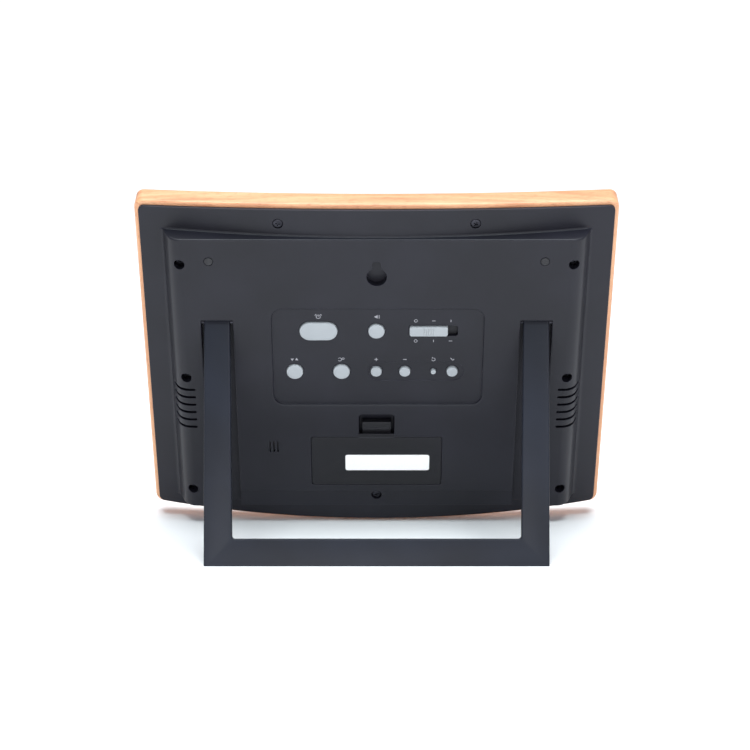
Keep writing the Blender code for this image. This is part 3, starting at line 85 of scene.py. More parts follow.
def solid(name, points, faces, smooth=35):
    """A closed mesh object on the drawing board, with its faces turned outwards."""
    mesh = bpy.data.meshes.new(name)
    mesh.from_pydata([tuple(p) for p in points], [], faces)
    shape = bmesh.new()
    shape.from_mesh(mesh)
    bmesh.ops.remove_doubles(shape, verts=shape.verts, dist=WELD)
    bmesh.ops.recalc_face_normals(shape, faces=shape.faces)
    shape.to_mesh(mesh)
    shape.free()
    mesh.shade_smooth()
    mesh.set_sharp_from_angle(angle=math.radians(smooth))
    thing = bpy.data.objects.new(name, mesh)
    bpy.context.scene.collection.objects.link(thing)
    return thing


def skin(name, rings, smooth=35):
    """A closed solid through rings that all have the same number of points."""
    count = len(rings[0])
    points = [p for ring in rings for p in ring]
    faces = []
    for level in range(len(rings) - 1):
        for i in range(count):
            j = (i + 1) % count
            low, high = level * count, (level + 1) * count
            faces.append((low + i, low + j, high + j, high + i))
    faces.append(tuple(reversed(range(count))))
    faces.append(tuple(range(len(points) - count, len(points))))
    return solid(name, points, faces, smooth)


def round_rectangle(half_x, half_z, radius, corner_steps=8):
    """(x, z) points round a rectangle with round corners, around its middle."""
    radius = min(radius, half_x, half_z)
    points = []
    for quarter in range(4):
        side_x, side_z = ((1, 1), (-1, 1), (-1, -1), (1, -1))[quarter]
        for k in range(corner_steps + 1):
            angle = QUARTER * (quarter + k / corner_steps)
            x = side_x * (half_x - radius) + radius * math.cos(angle)
            z = side_z * (half_z - radius) + radius * math.sin(angle)
            points.append((x, z))
    return points


def stack(name, at, rings, corner_steps=8, smooth=35):
    """A solid through rounded rectangles (half_x, half_z, radius, y) round the place (x, z)."""
    levels = []
    for half_x, half_z, radius, y in rings:
        outline = round_rectangle(max(half_x, TINY), max(half_z, TINY), max(radius, TINY), corner_steps)
        levels.append([(at[0] + x, y, at[1] + z) for x, z in outline])
    return skin(name, levels, smooth)


def disc(radius, y):
    return (radius, radius, radius, y)


def block(name, x, y, z):
    """A plain box between pairs of coordinates, used only to cut or to fill inside other pieces."""
    middle = ((x[0] + x[1]) / 2, (z[0] + z[1]) / 2)
    half = (x[1] - x[0]) / 2, (z[1] - z[0]) / 2
    return stack(name, middle, [(*half, TINY, y[0]), (*half, TINY, y[1])], 1)


def plain(thing):
    """The object with its modifiers worked into a plain mesh."""
    bpy.context.view_layer.update()
    graph = bpy.context.evaluated_depsgraph_get()
    mesh = bpy.data.meshes.new_from_object(thing.evaluated_get(graph))
    thing.modifiers.clear()
    thing.data = mesh
    return thing


def combine(thing, others, operation):
    """Join, cut or intersect a solid with a group of others, which are used up."""
    group = bpy.data.collections.new("tools")
    for other in others:
        group.objects.link(other)
    step = thing.modifiers.new(operation.lower(), "BOOLEAN")
    step.operation = operation
    step.operand_type = "COLLECTION"
    step.collection = group
    step.solver = "EXACT"
    plain(thing)
    for other in others:
        bpy.data.objects.remove(other)
    bpy.data.collections.remove(group)
    return thing


def loose_edges(thing):
    shape = bmesh.new()
    shape.from_mesh(thing.data)
    count = sum(1 for edge in shape.edges if not edge.is_manifold)
    shape.free()
    return count


# %% [markdown]
# ## Handing a piece over
# A finished mesh goes to its real place, its object stays at the origin, and it rides on the body
# that carries it in the mechanical model, in place of the plain pieces that it stands for.

# %% Handing over
def hand_over(thing, material, body, stands_for=(), smooth=35):
    """Carry a drawn mesh to its place and attach it to its body."""
    thing.data.transform(BOARD)
    shape = bmesh.new()
    shape.from_mesh(thing.data)
    bmesh.ops.remove_doubles(shape, verts=shape.verts, dist=2 * WELD * MM)
    shape.to_mesh(thing.data)
    shape.free()
    thing.data.shade_smooth()
    thing.data.set_sharp_from_angle(angle=math.radians(smooth))
    thing.data.materials.clear()
    thing.data.materials.append(material)
    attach(thing, body)
    if stands_for:
        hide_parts(*stands_for)
    print(f"{thing.name}: {len(thing.data.polygons)} faces, {loose_edges(thing)} open edges")
    return thing


# %% [markdown]
# ## Nodes and colours
# One helper adds any node, to a material or to a geometry tree: attributes are set by name, and
# each input gets either a number or a link. Colours are written as sRGB hex values, as a paint
# chart gives them, and turned to the linear values that a shader works with.

# %% Node helpers
def linear(hex_colour):
    """The linear colour of an sRGB hex value."""
    parts = [int(hex_colour[i:i + 2], 16) / 255 for i in (1, 3, 5)]
    return (*[c / 12.92 if c <= 0.04045 else ((c + 0.055) / 1.055) ** 2.4 for c in parts], 1)


def feed(tree, node, inputs):
    for key, value in inputs.items():
        if isinstance(value, bpy.types.NodeSocket):
            tree.links.new(value, node.inputs[key])
        else:
            node.inputs[key].default_value = value


def add(tree, kind, inputs=None, **attributes):
    """A new node with its attributes, and its inputs set or linked."""
    node = tree.nodes.new(kind)
    for key, value in attributes.items():
        setattr(node, key, value)
    feed(tree, node, inputs or {})
    return node


def new_material(name, **finish):
    """A material with its Principled shader's constant values set, and its Object coordinates."""
    material = bpy.data.materials.new(name)
    material.use_nodes = True
    tree = material.node_tree
    shader = tree.nodes["Principled BSDF"]
    for key, value in finish.items():
        shader.inputs[key.replace("_", " ")].default_value = value
    place = add(tree, "ShaderNodeTexCoord").outputs["Object"]
    return material, tree, shader, place


def ramp(tree, factor, stops):
    """A colour ramp through (position, hex colour) stops."""
    node = add(tree, "ShaderNodeValToRGB", {"Fac": factor})
    while len(node.color_ramp.elements) < len(stops):
        node.color_ramp.elements.new(0.5)
    for element, (position, hex_colour) in zip(node.color_ramp.elements, stops):
        element.position = position
        element.color = linear(hex_colour)
    return node.outputs["Color"]


def per_metre(size_mm):
    """A texture scale whose features are about this many millimetres across."""
    return 1000 / size_mm


def mapped(tree, place, **how):
    """Coordinates turned or stretched."""
    return add(tree, "ShaderNodeMapping", {"Vector": place, **how}).outputs["Vector"]


def noise(tree, place, size_mm, detail, **more):
    """Noise whose features are about size_mm across."""
    inputs = {"Vector": place, "Scale": per_metre(size_mm), "Detail": detail, **more}
    return add(tree, "ShaderNodeTexNoise", inputs).outputs["Fac"]


def between(tree, value, low, high):
    """A value from 0 to 1 carried to a range."""
    inputs = {"Value": value, "To Min": low, "To Max": high}
    return add(tree, "ShaderNodeMapRange", inputs).outputs["Result"]


def bump(tree, height, strength, depth_mm, **more):
    """A normal that follows a height of so many millimetres."""
    inputs = {"Height": height, "Strength": strength, "Distance": depth_mm * MM, **more}
    return add(tree, "ShaderNodeBump", inputs).outputs["Normal"]


# %% [markdown]
# ## Lacquered beech
# The frame is four lengths of light beech, planed, bent and clear-lacquered. Beech is pale with a
# rosy tint, has faint long growth bands, and short darker flecks where the rays are cut. Bands and
# flecks run along each length of wood, so the rails and the stiles need the same wood turned. The
# bands here are a stretched noise about 5 mm wide; real flecks are 0.1 mm wide, which is too fine
# to show, so they are drawn 0.5 mm wide.

# %% Wood
def lacquered_beech(name, turn):
    """Lacquered beech whose grain runs along local X after the turn."""
    material, tree, shader, place = new_material(name, Roughness=0.42, Coat_Weight=0.25, Coat_Roughness=0.3)
    board = mapped(tree, place, Rotation=turn)
    long = mapped(tree, board, Scale=(0.045, 1, 1))
    bands = noise(tree, long, 5, 4.0, Roughness=0.55, Distortion=0.6)
    wood = ramp(tree, bands, ((0.30, "#C0835C"), (0.48, "#D59A70"), (0.62, "#E0AA80"), (0.78, "#CF966C")))
    short = mapped(tree, board, Scale=(0.12, 1, 1))
    flecks = noise(tree, short, 0.5, 2.0)
    dark = ramp(tree, flecks, ((0.30, "#B9805A"), (0.46, "#FFFFFF")))
    mix = add(tree, "ShaderNodeMix", data_type="RGBA", blend_type="MULTIPLY")
    feed(tree, mix, {0: 0.4, 6: wood, 7: dark})
    feed(tree, shader, {"Base Color": mix.outputs[2], "Normal": bump(tree, flecks, 0.12, 0.1)})
    return material


RAIL_WOOD = lacquered_beech("lacquered_beech_rail", (LEAN, 0, 0))
STILE_WOOD = lacquered_beech("lacquered_beech_stile", (LEAN, QUARTER, 0))
print("woods:", RAIL_WOOD.name, STILE_WOOD.name)

# %% [markdown]
# ## Moulded ABS
# The cover, stand, door and buttons are injection-moulded ABS. The steel mould is spark-eroded, so
# the plastic has a fine satin grit: it breaks up reflections without hiding them. Edges that a
# mould makes are never razor sharp, so a bevel sampled in the shader rounds the light on every tiny
# edge, and the same sample paints the plastic a little lighter there, as a painted highlight.
# Real grit is about 0.05 mm; here it is 0.6 mm, because finer grit would not show.

# %% Plastics
def moulded_abs(name, base, cloud, polished, roughness, edge_mm=0.35):
    """Satin moulded ABS from its base colour, its faint cloudy variation and a painted highlight on its
    edges.
    """
    material, tree, shader, place = new_material(name, IOR=1.53, Specular_IOR_Level=0.27)
    grit = noise(tree, place, 0.6, 3.0, Roughness=0.6)
    body = ramp(tree, noise(tree, place, 38, 2.0), ((0.35, base), (0.65, cloud)))
    edge = add(tree, "ShaderNodeBevel", {"Radius": edge_mm * MM}, samples=4).outputs["Normal"]
    face = add(tree, "ShaderNodeNewGeometry").outputs["Normal"]
    agree = add(tree, "ShaderNodeVectorMath", {0: edge, 1: face}, operation="DOT_PRODUCT").outputs["Value"]
    # Where the bevel turns the normal, the colour is mixed toward a lighter one: a painted edge highlight.
    painted_edge_highlight = add(
        tree, "ShaderNodeMapRange", {"Value": agree, "From Min": 0.999, "From Max": 0.86, "To Max": 0.55}
    ).outputs["Result"]
    mix = add(tree, "ShaderNodeMix", data_type="RGBA")
    feed(tree, mix, {0: painted_edge_highlight, 6: body, 7: linear(polished)})
    sheen = between(tree, grit, roughness - 0.05, roughness + 0.07)
    relief = bump(tree, grit, 0.1, 0.06, Normal=edge)
    feed(tree, shader, {"Base Color": mix.outputs[2], "Roughness": sheen, "Normal": relief})
    return material


# The fourth colour of each plastic is its painted edge highlight.
COVER_ABS = moulded_abs("black_abs_cover", "#13131B", "#181821", "#3C3C4A", 0.44)
STAND_ABS = moulded_abs("black_abs_stand", "#13161F", "#181C27", "#454A5B", 0.42)
DOOR_ABS = moulded_abs("black_abs_door", "#101015", "#14141A", "#3A3A44", 0.48)
GREY_ABS = moulded_abs("pale_grey_abs", "#989DA1", "#A0A5A9", "#B9BEC2", 0.38, 0.25)
TRAY_ABS = moulded_abs("black_abs_tray", "#202024", "#26262B", "#3A3A42", 0.6)
print("plastics made")

# %% [markdown]
# ## The bend
# Seen from above, frame and cover follow one large arc whose ends come forward of the middle. A
# layer at some depth in front of the cover's rear surface is an arc of the same centre.

# %% Bend and edge lines
BODY_RISE = 2.5
PLATE = 2.0
FRAME_HALF = (125.0, 100.0)
SAG = 12.8
ARCH = 4.0
ARC_RADIUS = (FRAME_HALF[0] ** 2 + SAG ** 2) / (2 * SAG)
EDGE_RADIUS = (FRAME_HALF[0] ** 2 + ARCH ** 2) / (2 * ARCH)


def arc_y(x, depth):
    """Y of the bent layer at a depth below the cover's rear surface."""
    return -BODY_RISE - ARC_RADIUS + math.sqrt((ARC_RADIUS - depth) ** 2 - x * x)


def arch_drop(x):
    """How far the arched top edge has fallen at x from its middle."""
    return EDGE_RADIUS - math.sqrt(EDGE_RADIUS ** 2 - x * x)


def corner_fall(across, half, radius):
    """How far a rounded corner falls back as across nears half."""
    into = max(0.0, abs(across) - (half - radius))
    return radius - math.sqrt(max(0.0, radius * radius - into * into))


def edge_z(x, half_x, half_z, radius):
    """Height of the arched, round-cornered outline at x."""
    return half_z - arch_drop(x) - corner_fall(x, half_x, radius)


def spread(start, end, count):
    return [start + (end - start) * i / count for i in range(count + 1)]


print(f"the back bends on a radius of {ARC_RADIUS:.0f} mm")

# %% [markdown]
# ## The wooden frame
# The frame is four mitred members. Each is one section drawn once and swept: an outer band 15 mm
# wide and 13 mm thick, and a thin lip that holds the window. A router rounds the outer edges. The
# rails arch outward a little and bend with the arc; the stiles are straight. Sweeping the section
# by hand, instead of bevelling a boolean, keeps the grain's edge round even and the mitres true.

# %% Frame members
WOOD_REAR = PLATE + 0.3
WOOD_FRONT = WOOD_REAR + 13
REBATE = 15.0
BORDER = 24.0
LIP = 1.8
FRAME_CORNER = 4.5
MITRE_GAP = 0.05
REAR_ROUND = 1.1
FRONT_ROUND = 1.6
INNER_ROUND = 0.5


def member_section():
    """(where, inward offset, depth) round the section; where tells which edge the offset is from."""
    r, f, i = REAR_ROUND, FRONT_ROUND, INNER_ROUND
    points = [
        ("outer", r - r * math.sin(t), WOOD_REAR + r - r * math.cos(t)) for t in spread(0, QUARTER, 4)
    ]
    points += [
        ("outer", f - f * math.cos(t), WOOD_FRONT - f + f * math.sin(t)) for t in spread(0, QUARTER, 5)
    ]
    inner = BORDER
    points += [
        ("inner", inner - i + i * math.sin(t), WOOD_FRONT - i + i * math.cos(t))
        for t in spread(0, QUARTER, 3)
    ]
    points += [("inner", inner, WOOD_FRONT - LIP), ("inner", REBATE, WOOD_FRONT - LIP)]
    points += [("inner", REBATE, WOOD_REAR + 0.2), ("inner", REBATE - 0.2, WOOD_REAR)]
    return points


ALONG = [0, 0.3, 0.7, 1.2, 1.8, 2.4, 3.1, 3.9, 4.8, 6, 10, 20, 32, 45, 58, 71, 84, 98, 112, 125]
SWEEP = sorted({s * (1 - e / 125) for e in ALONG for s in (-1, 1)})
MITRE = FRAME_HALF[0] - (FRAME_HALF[1] - ARCH)


def rail_point(where, offset, share, top):
    """A rail's section point at a share of its length: (x, z)."""
    def height(x):
        if where == "outer":
            return edge_z(x, *FRAME_HALF, FRAME_CORNER) - offset
        return FRAME_HALF[1] - offset
    low, high = 0.0, FRAME_HALF[0]
    for _ in range(40):
        middle = (low + high) / 2
        low, high = (middle, high) if middle - height(middle) < MITRE - MITRE_GAP else (low, middle)
    x = share * low
    return x, top * height(abs(x))


def stile_point(where, offset, share, side):
    """A stile's section point at a share of its length: (x, z)."""
    corner = FRAME_HALF[1] - ARCH

    def across(z):
        if where == "outer":
            return FRAME_HALF[0] - corner_fall(z, corner, FRAME_CORNER) - offset
        return FRAME_HALF[0] - offset
    low, high = 0.0, corner
    for _ in range(40):
        middle = (low + high) / 2
        low, high = (middle, high) if across(middle) - middle > MITRE + MITRE_GAP else (low, middle)
    z = share * low
    return side * across(abs(z)), z


def frame_member(name, place, side, material):
    section = member_section()
    rings = []
    for share in SWEEP:
        spots = [place(where, offset, share, side) for where, offset, _ in section]
        rings.append([(x, arc_y(x, depth), z) for (x, z), (_, _, depth) in zip(spots, section)])
    piece = skin(name, rings)
    hand_over(piece, material, "clock", [name.replace("beech_", "frame_")])


frame_member("beech_top_rail", rail_point, 1, RAIL_WOOD)
frame_member("beech_bottom_rail", rail_point, -1, RAIL_WOOD)
frame_member("beech_stile_left", stile_point, 1, STILE_WOOD)
frame_member("beech_stile_right", stile_point, -1, STILE_WOOD)

# %% [markdown]
# ## The back cover's shell
# The cover is one moulding: a bent flange plate, and a body that rises from it to a flat back. Its
# rule is simple, so the shell is a grid. Across, the body has a flat back, a round shoulder of
# 8 mm, a wall with 22 degrees of draft and a small fillet into the flange. Up and down, it ends in
# a wall with a rounded ridge. The inner skin is the same grid, 2 mm deeper, so the wall has an even
# thickness all over, as a moulding must to cool without sink marks.

# %% Shell grid
WALL = 2.0
RIM = 2.3
BODY_HALF = 110.5
BODY_TOP = 82.2
BODY_BOTTOM = -87.5
DRAFT = math.radians(22)
SHOULDER = 8.0
FOOT_FILLET = 3.2
RIDGE = 1.0
PLATE_HALF = (FRAME_HALF[0] - RIM, FRAME_HALF[1] - RIM)
PLATE_CORNER = 2.5
EDGE_ROUND = 0.4


def half_profile():
    """Columns from the middle outwards: (x, body_y, outward normal's x and y)."""
    base = arc_y(BODY_HALF, 0)
    tip = BODY_HALF + base * math.tan(DRAFT)
    turn = QUARTER - DRAFT
    tangent = SHOULDER * math.tan(turn / 2)
    columns = [(x, 0.0, 0.0, 1.0) for x in spread(0, tip - tangent, 14)[:-1]]
    for angle in spread(0, turn, 12):
        x = tip - tangent + SHOULDER * math.sin(angle)
        columns.append((x, SHOULDER * (math.cos(angle) - 1), math.sin(angle), math.cos(angle)))
    flange = math.asin(BODY_HALF / ARC_RADIUS)
    bend = turn - flange
    reach = FOOT_FILLET * math.tan(bend / 2)
    start = Vector((BODY_HALF - reach * math.cos(turn), base + reach * math.sin(turn)))
    centre = start + Vector((math.sin(turn), math.cos(turn))) * FOOT_FILLET
    wall_top = Vector(columns[-1][:2])
    columns += [
        (*(wall_top.lerp(start, k / 4)), math.sin(turn), math.cos(turn)) for k in (1, 2, 3)
    ]
    for angle in spread(turn, flange, 7):
        x = centre.x - FOOT_FILLET * math.sin(angle)
        y = centre.y - FOOT_FILLET * math.cos(angle)
        columns.append((x, max(y, arc_y(x, 0)), math.sin(angle), math.cos(angle)))
    edge = PLATE_HALF[0] - EDGE_ROUND
    outer = spread(columns[-1][0] + 0.8, edge - PLATE_CORNER, 4)
    outer += [edge - PLATE_CORNER + PLATE_CORNER * math.sin(a) for a in spread(0, QUARTER, 7)[1:]]
    for x in outer:
        lean = math.asin(x / ARC_RADIUS)
        columns.append((x, arc_y(x, 0), math.sin(lean), math.cos(lean)))
    return columns


HALF_PROFILE = half_profile()
PROFILE = [(-x, y, -nx, ny) for x, y, nx, ny in reversed(HALF_PROFILE[1:])] + HALF_PROFILE
print("columns across the shell:", len(PROFILE))


def shell_column(x, body_y, nx, ny, inset):
    """One column of a skin, from the bottom edge to the top edge."""
    points = []
    flange_lean = math.asin(x / ARC_RADIUS)
    flange_x = x - inset * math.sin(flange_lean)
    flange_y = arc_y(x, 0) - inset * math.cos(flange_lean)
    body_x = x - inset * nx
    body_y = body_y - inset * ny
    lift = max(0.0, body_y - flange_y)
    ridge = min(RIDGE, lift / 2.4)
    for way, wall in ((-1, BODY_BOTTOM), (1, BODY_TOP)):
        end = wall - way * inset
        outline = edge_z(x, PLATE_HALF[0] - EDGE_ROUND, PLATE_HALF[1] - EDGE_ROUND, PLATE_CORNER)
        half = []
        for z in spread(0, abs(end) - RIDGE, 7)[(1 if way > 0 else 0):]:
            half.append((body_x, body_y, way * z))
        for a in spread(0, QUARTER, 4)[1:]:
            fall = ridge * (1 - math.sin(a))
            half.append((body_x, body_y - ridge * (1 - math.cos(a)), end - way * fall))
        for a in spread(0, QUARTER, 4):
            rise = ridge * (1 - math.sin(a))
            out = ridge * (1 - math.cos(a))
            half.append((flange_x if a else body_x, flange_y + rise, end + way * out))
        for z in spread(abs(end) + RIDGE, outline, 4)[1:]:
            half.append((flange_x, flange_y, way * max(z, abs(end) + ridge)))
        points += reversed(half) if way < 0 else half
    return points


NEARBY = range(1, 30)


def distinct(one, other):
    return (Vector(one) - other).length > WELD


def cover_shell():
    outer = [shell_column(*column, 0) for column in PROFILE]
    inner = [shell_column(*column, WALL) for column in PROFILE]
    rows = len(outer[0])
    count = len(PROFILE)
    points = [p for column in outer for p in column] + [p for column in inner for p in column]
    faces = []
    for i in range(count - 1):
        for j in range(rows - 1):
            a = i * rows + j
            faces.append((a, a + rows, a + rows + 1, a + 1))
            b = a + count * rows
            faces.append((b, b + 1, b + rows + 1, b + rows))
    border = [i * rows for i in range(count)] + [(count - 1) * rows + j for j in range(1, rows)]
    border += [i * rows + rows - 1 for i in range(count - 2, -1, -1)] + list(range(rows - 2, 0, -1))
    loops = [border]
    steps = ((EDGE_ROUND * 0.7, EDGE_ROUND * 0.3), (EDGE_ROUND, EDGE_ROUND), (EDGE_ROUND, WALL - 0.2))
    for out, down in steps:
        loop = []
        for k, index in enumerate(border):
            here = Vector(points[index])
            earlier = (points[border[k - n]] for n in NEARBY)
            later = (points[border[(k + n) % len(border)]] for n in NEARBY)
            before = next(Vector(point) for point in earlier if distinct(point, here))
            after = next(Vector(point) for point in later if distinct(point, here))
            way = Vector((after.z - before.z, before.x - after.x)).normalized()
            points.append((here.x + way.x * out, here.y - down, here.z + way.y * out))
            loop.append(len(points) - 1)
        loops.append(loop)
    loops.append([index + count * rows for index in border])
    for one, two in zip(loops, loops[1:]):
        for k in range(len(one)):
            n = (k + 1) % len(one)
            faces.append((one[k], one[n], two[n], two[k]))
    return solid("moulded_back_cover", points, faces)


shell = cover_shell()
print("shell:", len(shell.data.polygons), "faces,", loose_edges(shell), "open edges")

# %% [markdown]
# ## Slots by a rule
# Vents, the sounder's grille and the ridges of the latch are the same thing: a rounded slot or bar,
# repeated at a pitch. A small geometry tree makes them: a rectangle with filleted corners, filled,
# extruded, and set on the points of a line. Its sizes are named inputs, so one tree serves all.

# %% A tree for rows of rounded slots
def tree_input(tree, name, kind):
    return tree.interface.new_socket(name, in_out="INPUT", socket_type=kind)


def new_tree(name, inputs):
    """An empty geometry tree with a geometry input, named inputs and a geometry output."""
    tree = bpy.data.node_groups.new(name, "GeometryNodeTree")
    tree_input(tree, "Geometry", "NodeSocketGeometry")
    for key, kind in inputs:
        tree_input(tree, key, kind)
    tree.interface.new_socket("Geometry", in_out="OUTPUT", socket_type="NodeSocketGeometry")
    return tree, add(tree, "NodeGroupInput").outputs, add(tree, "NodeGroupOutput")


def close_tree(tree, geometry, given, out):
    """Every tree ends by making its instances real and giving them their material."""
    real = add(tree, "GeometryNodeRealizeInstances", {"Geometry": geometry}).outputs["Geometry"]
    done = add(tree, "GeometryNodeSetMaterial", {"Geometry": real, "Material": given["Material"]})
    feed(tree, out, {"Geometry": done.outputs["Geometry"]})
    return tree


def slot_tree():
    sizes = ("Length", "Width", "Depth", "Corner", "Pitch")
    inputs = [(key, "NodeSocketFloat") for key in sizes]
    inputs += [("Count", "NodeSocketInt"), ("Material", "NodeSocketMaterial")]
    tree, given, out = new_tree("row_of_slots", inputs)
    outline = add(
        tree, "GeometryNodeCurvePrimitiveQuadrilateral", {"Width": given["Length"], "Height": given["Width"]}
    ).outputs["Curve"]
    soft = add(
        tree, "GeometryNodeFilletCurve",
        {"Curve": outline, "Radius": given["Corner"], "Count": 5}, mode="POLY",
    )
    flat = add(tree, "GeometryNodeFillCurve", {"Curve": soft.outputs["Curve"]}, mode="NGONS").outputs["Mesh"]
    tall = add(tree, "GeometryNodeExtrudeMesh", {"Mesh": flat, "Offset Scale": given["Depth"]}, mode="FACES")
    base = add(tree, "GeometryNodeFlipFaces", {"Mesh": flat}).outputs["Mesh"]
    both = add(tree, "GeometryNodeJoinGeometry")
    tree.links.new(base, both.inputs["Geometry"])
    tree.links.new(tall.outputs["Mesh"], both.inputs["Geometry"])
    bar = add(tree, "GeometryNodeMergeByDistance", {"Geometry": both.outputs["Geometry"]}).outputs["Geometry"]
    step = add(tree, "ShaderNodeCombineXYZ", {"Y": given["Pitch"]}).outputs["Vector"]
    line = add(tree, "GeometryNodeMeshLine", {"Count": given["Count"], "Offset": step}).outputs["Mesh"]
    row = add(tree, "GeometryNodeInstanceOnPoints", {"Points": line, "Instance": bar}).outputs["Instances"]
    return close_tree(tree, row, given, out)


SLOTS = slot_tree()


def grown(name, tree, values, points=()):
    """A plain mesh grown by a geometry tree from points, with its named inputs set."""
    mesh = bpy.data.meshes.new(name)
    mesh.from_pydata([tuple(p) for p in points], [], [])
    thing = bpy.data.objects.new(name, mesh)
    bpy.context.scene.collection.objects.link(thing)
    step = thing.modifiers.new("grow", "NODES")
    step.node_group = tree
    for item in tree.interface.items_tree:
        if item.in_out == "INPUT" and item.name in values:
            step[item.identifier] = values[item.name]
    return plain(thing)


def slots(name, at, top, turned, **values):
    """A row of rounded bars that go down from a level of the board, along its Z or its X."""
    row = grown(name, SLOTS, {key.capitalize(): value for key, value in values.items()})
    stand_up = Matrix.Rotation(QUARTER, 4, "X")
    spin = Matrix.Rotation(QUARTER, 4, "Y") if turned else Matrix.Identity(4)
    row.data.transform(Matrix.Translation((at[0], top, at[1])) @ spin @ stand_up)
    return row


# %% [markdown]
# ## Pockets with soft lips
# The control panel is sunk 1.5 mm into the back. A moulded pocket has a small fillet round its
# floor and a rounded lip, which catches the light as a thin line. The tool for it is a stack of
# rings: fillet, straight side, and a flare that leaves a rounded lip behind.

# %% Pocket tools
def soft_pocket(name, at, half_x, half_z, radius, floor, lip=0.4, fillet=0.2, rear=0.0):
    """A tool that cuts a pocket down to floor, with a fillet at its foot and a rounded lip."""
    rings = []
    for a in spread(0, QUARTER, 3):
        inward = fillet * (1 - math.sin(a))
        level = floor + fillet * (1 - math.cos(a))
        rings.append((half_x - inward, half_z - inward, radius - inward, level))
    for a in spread(0, QUARTER, 5):
        out = lip * (1 - math.cos(a))
        rings.append((half_x + out, half_z + out, radius + out, rear - lip + lip * math.sin(a)))
    out = lip + 0.01
    rings.append((half_x + out, half_z + out, radius + out, rear + OVER))
    return stack(name, at, rings)


def round_hole(name, at, radius, floor, lip=0.2, rear=0.0):
    return soft_pocket(name, at, radius, radius, radius, floor, lip, min(0.1, radius / 4), rear)


PANEL_FLOOR = -1.5
PANEL_MIDDLE = (-0.6, 10.65)
PANEL_SIZE = (56.2, 30.35)
UPPER_ROW = 26.7
LOWER_ROW = 1.4
BUTTON_GAP = 0.3
THROUGH = -7.0
ROUND_BUTTONS = {
    "demo": (0.1, UPPER_ROW, 4.3), "max_min": (43.6, LOWER_ROW, 4.4), "degrees": (18.7, LOWER_ROW, 4.4),
    "plus": (0.2, LOWER_ROW, 2.95), "minus": (-15, LOWER_ROW, 2.95), "reset": (-30.2, LOWER_ROW, 1.4),
    "set": (-40.2, LOWER_ROW, 2.95),
}
PANEL_CORNER = 6
SMALL_ROW = (-20.8, LOWER_ROW, 25.4, 5.8)
SMALL_ROW_STEP = 0.4
ALARM = (30.6, UPPER_ROW, 10, 5.4)
KNOB = (-27.4, UPPER_ROW, 10.1, 2.9)
KNOB_TRAVEL = 5.0
SIDE_SCREWS = [(side * 101.6, z) for side in (1, -1) for z in (67.5, -2, -75.4)]
FLANGE_SCREWS = [(50.5, 89), (-50.5, 89)]
BOTTOM_SCREW = (0, -80.6)
HEAD_BORE = 2.8
SHANK_BORE = 1.4
PIN_BORE = 1.55
BUMPERS = [(86.5, 69.4), (-86.5, 69.4)]
BAY = (0, -56.4)
BAY_HOLLOW = ((-27.25, 27.25), (-12.6, 1), (-68.4, -44.4))
DOOR_HALF = (35.55, 15.8)
TONGUE_X = 22
LATCH_POCKET = (0, -33.8)
CHANNEL_X = (75.0, 92.5)
CHANNEL_TOP = 34.2
CHANNEL_DEPTH = 6.2
PIVOT = (-3.0, 31.4)
SOUNDER = (56.0, -46.8)
GRILLE = {"length": 7.3, "width": 0.9, "depth": 5.5, "corner": 0.4, "pitch": 2.1, "count": 3}
VENTS_AT = (105.3, -33.5)
VENTS = {"length": 16.6, "width": 1.5, "depth": 12.0, "corner": 0.7, "pitch": 4.8, "count": 6}
KEYHOLE = (0, 60.1)

# %% [markdown]
# ## Fillings behind the wall
# Where a channel, a pocket or a bore is deeper than the wall, the moulding has more plastic behind
# it. Plain blocks add it, trimmed to a body half a wall smaller so that none shows outside.

# %% Fillings
FAR_IN = -40.0


def envelope():
    """The body's profile set in by half the wall, as one long bar."""
    half = [(x - nx, y - ny) for x, y, nx, ny in HALF_PROFILE if y > arc_y(x, 0) + 2.5]
    end = half[-1][0]
    outline = half + [(end, FAR_IN), (-end, FAR_IN)] + [(-x, y) for x, y in reversed(half[1:])]
    rings = [[(x, y, z) for x, y in outline] for z in (BODY_BOTTOM + 1, BODY_TOP - 1)]
    return skin("body_envelope", rings)


FILLS = {
    "right_channel": ((-94.4, -73), -8.2, (-90, 36.2)),
    "left_channel": ((73, 94.4), -8.2, (-90, 36.2)),
    "crossbar_channel": ((-74, 74), -3.5, (-90, -74.3)),
    "control_panel": ((-58.8, 57.6), -3.5, (-21.7, 43)),
    "door_seat": ((-37.5, 37.5), -3.4, (-74.3, -38.7)),
    "battery_bay": ((-28.3, 28.3), -13.6, (-69.4, -43.4)),
    "latch_pocket": ((-11, 11), -6.5, (-56, -24.1)),
    "keyhole": ((-6.9, 6.9), -6, (53.2, 72.8)),
}
BOSS_RADIUS = 3.9
fills = [block(name, x, (deep, 1), z) for name, (x, deep, z) in FILLS.items()]
for at in [*SIDE_SCREWS, BOTTOM_SCREW]:
    fills.append(stack("boss", at, [disc(BOSS_RADIUS, -13), disc(BOSS_RADIUS, 1)], 4))
inner = combine(fills[0], fills[1:], "UNION")
combine(inner, [envelope()], "INTERSECT")
combine(shell, [inner], "UNION")
print("shell with fillings:", loose_edges(shell), "open edges")

# %% [markdown]
# ## Cutting the openings
# Now every opening is cut at once: the stand's channels, the control panel with its button holes
# and switch slot, the battery bay, the keyhole, vents, grille, screw bores and bumper seats.

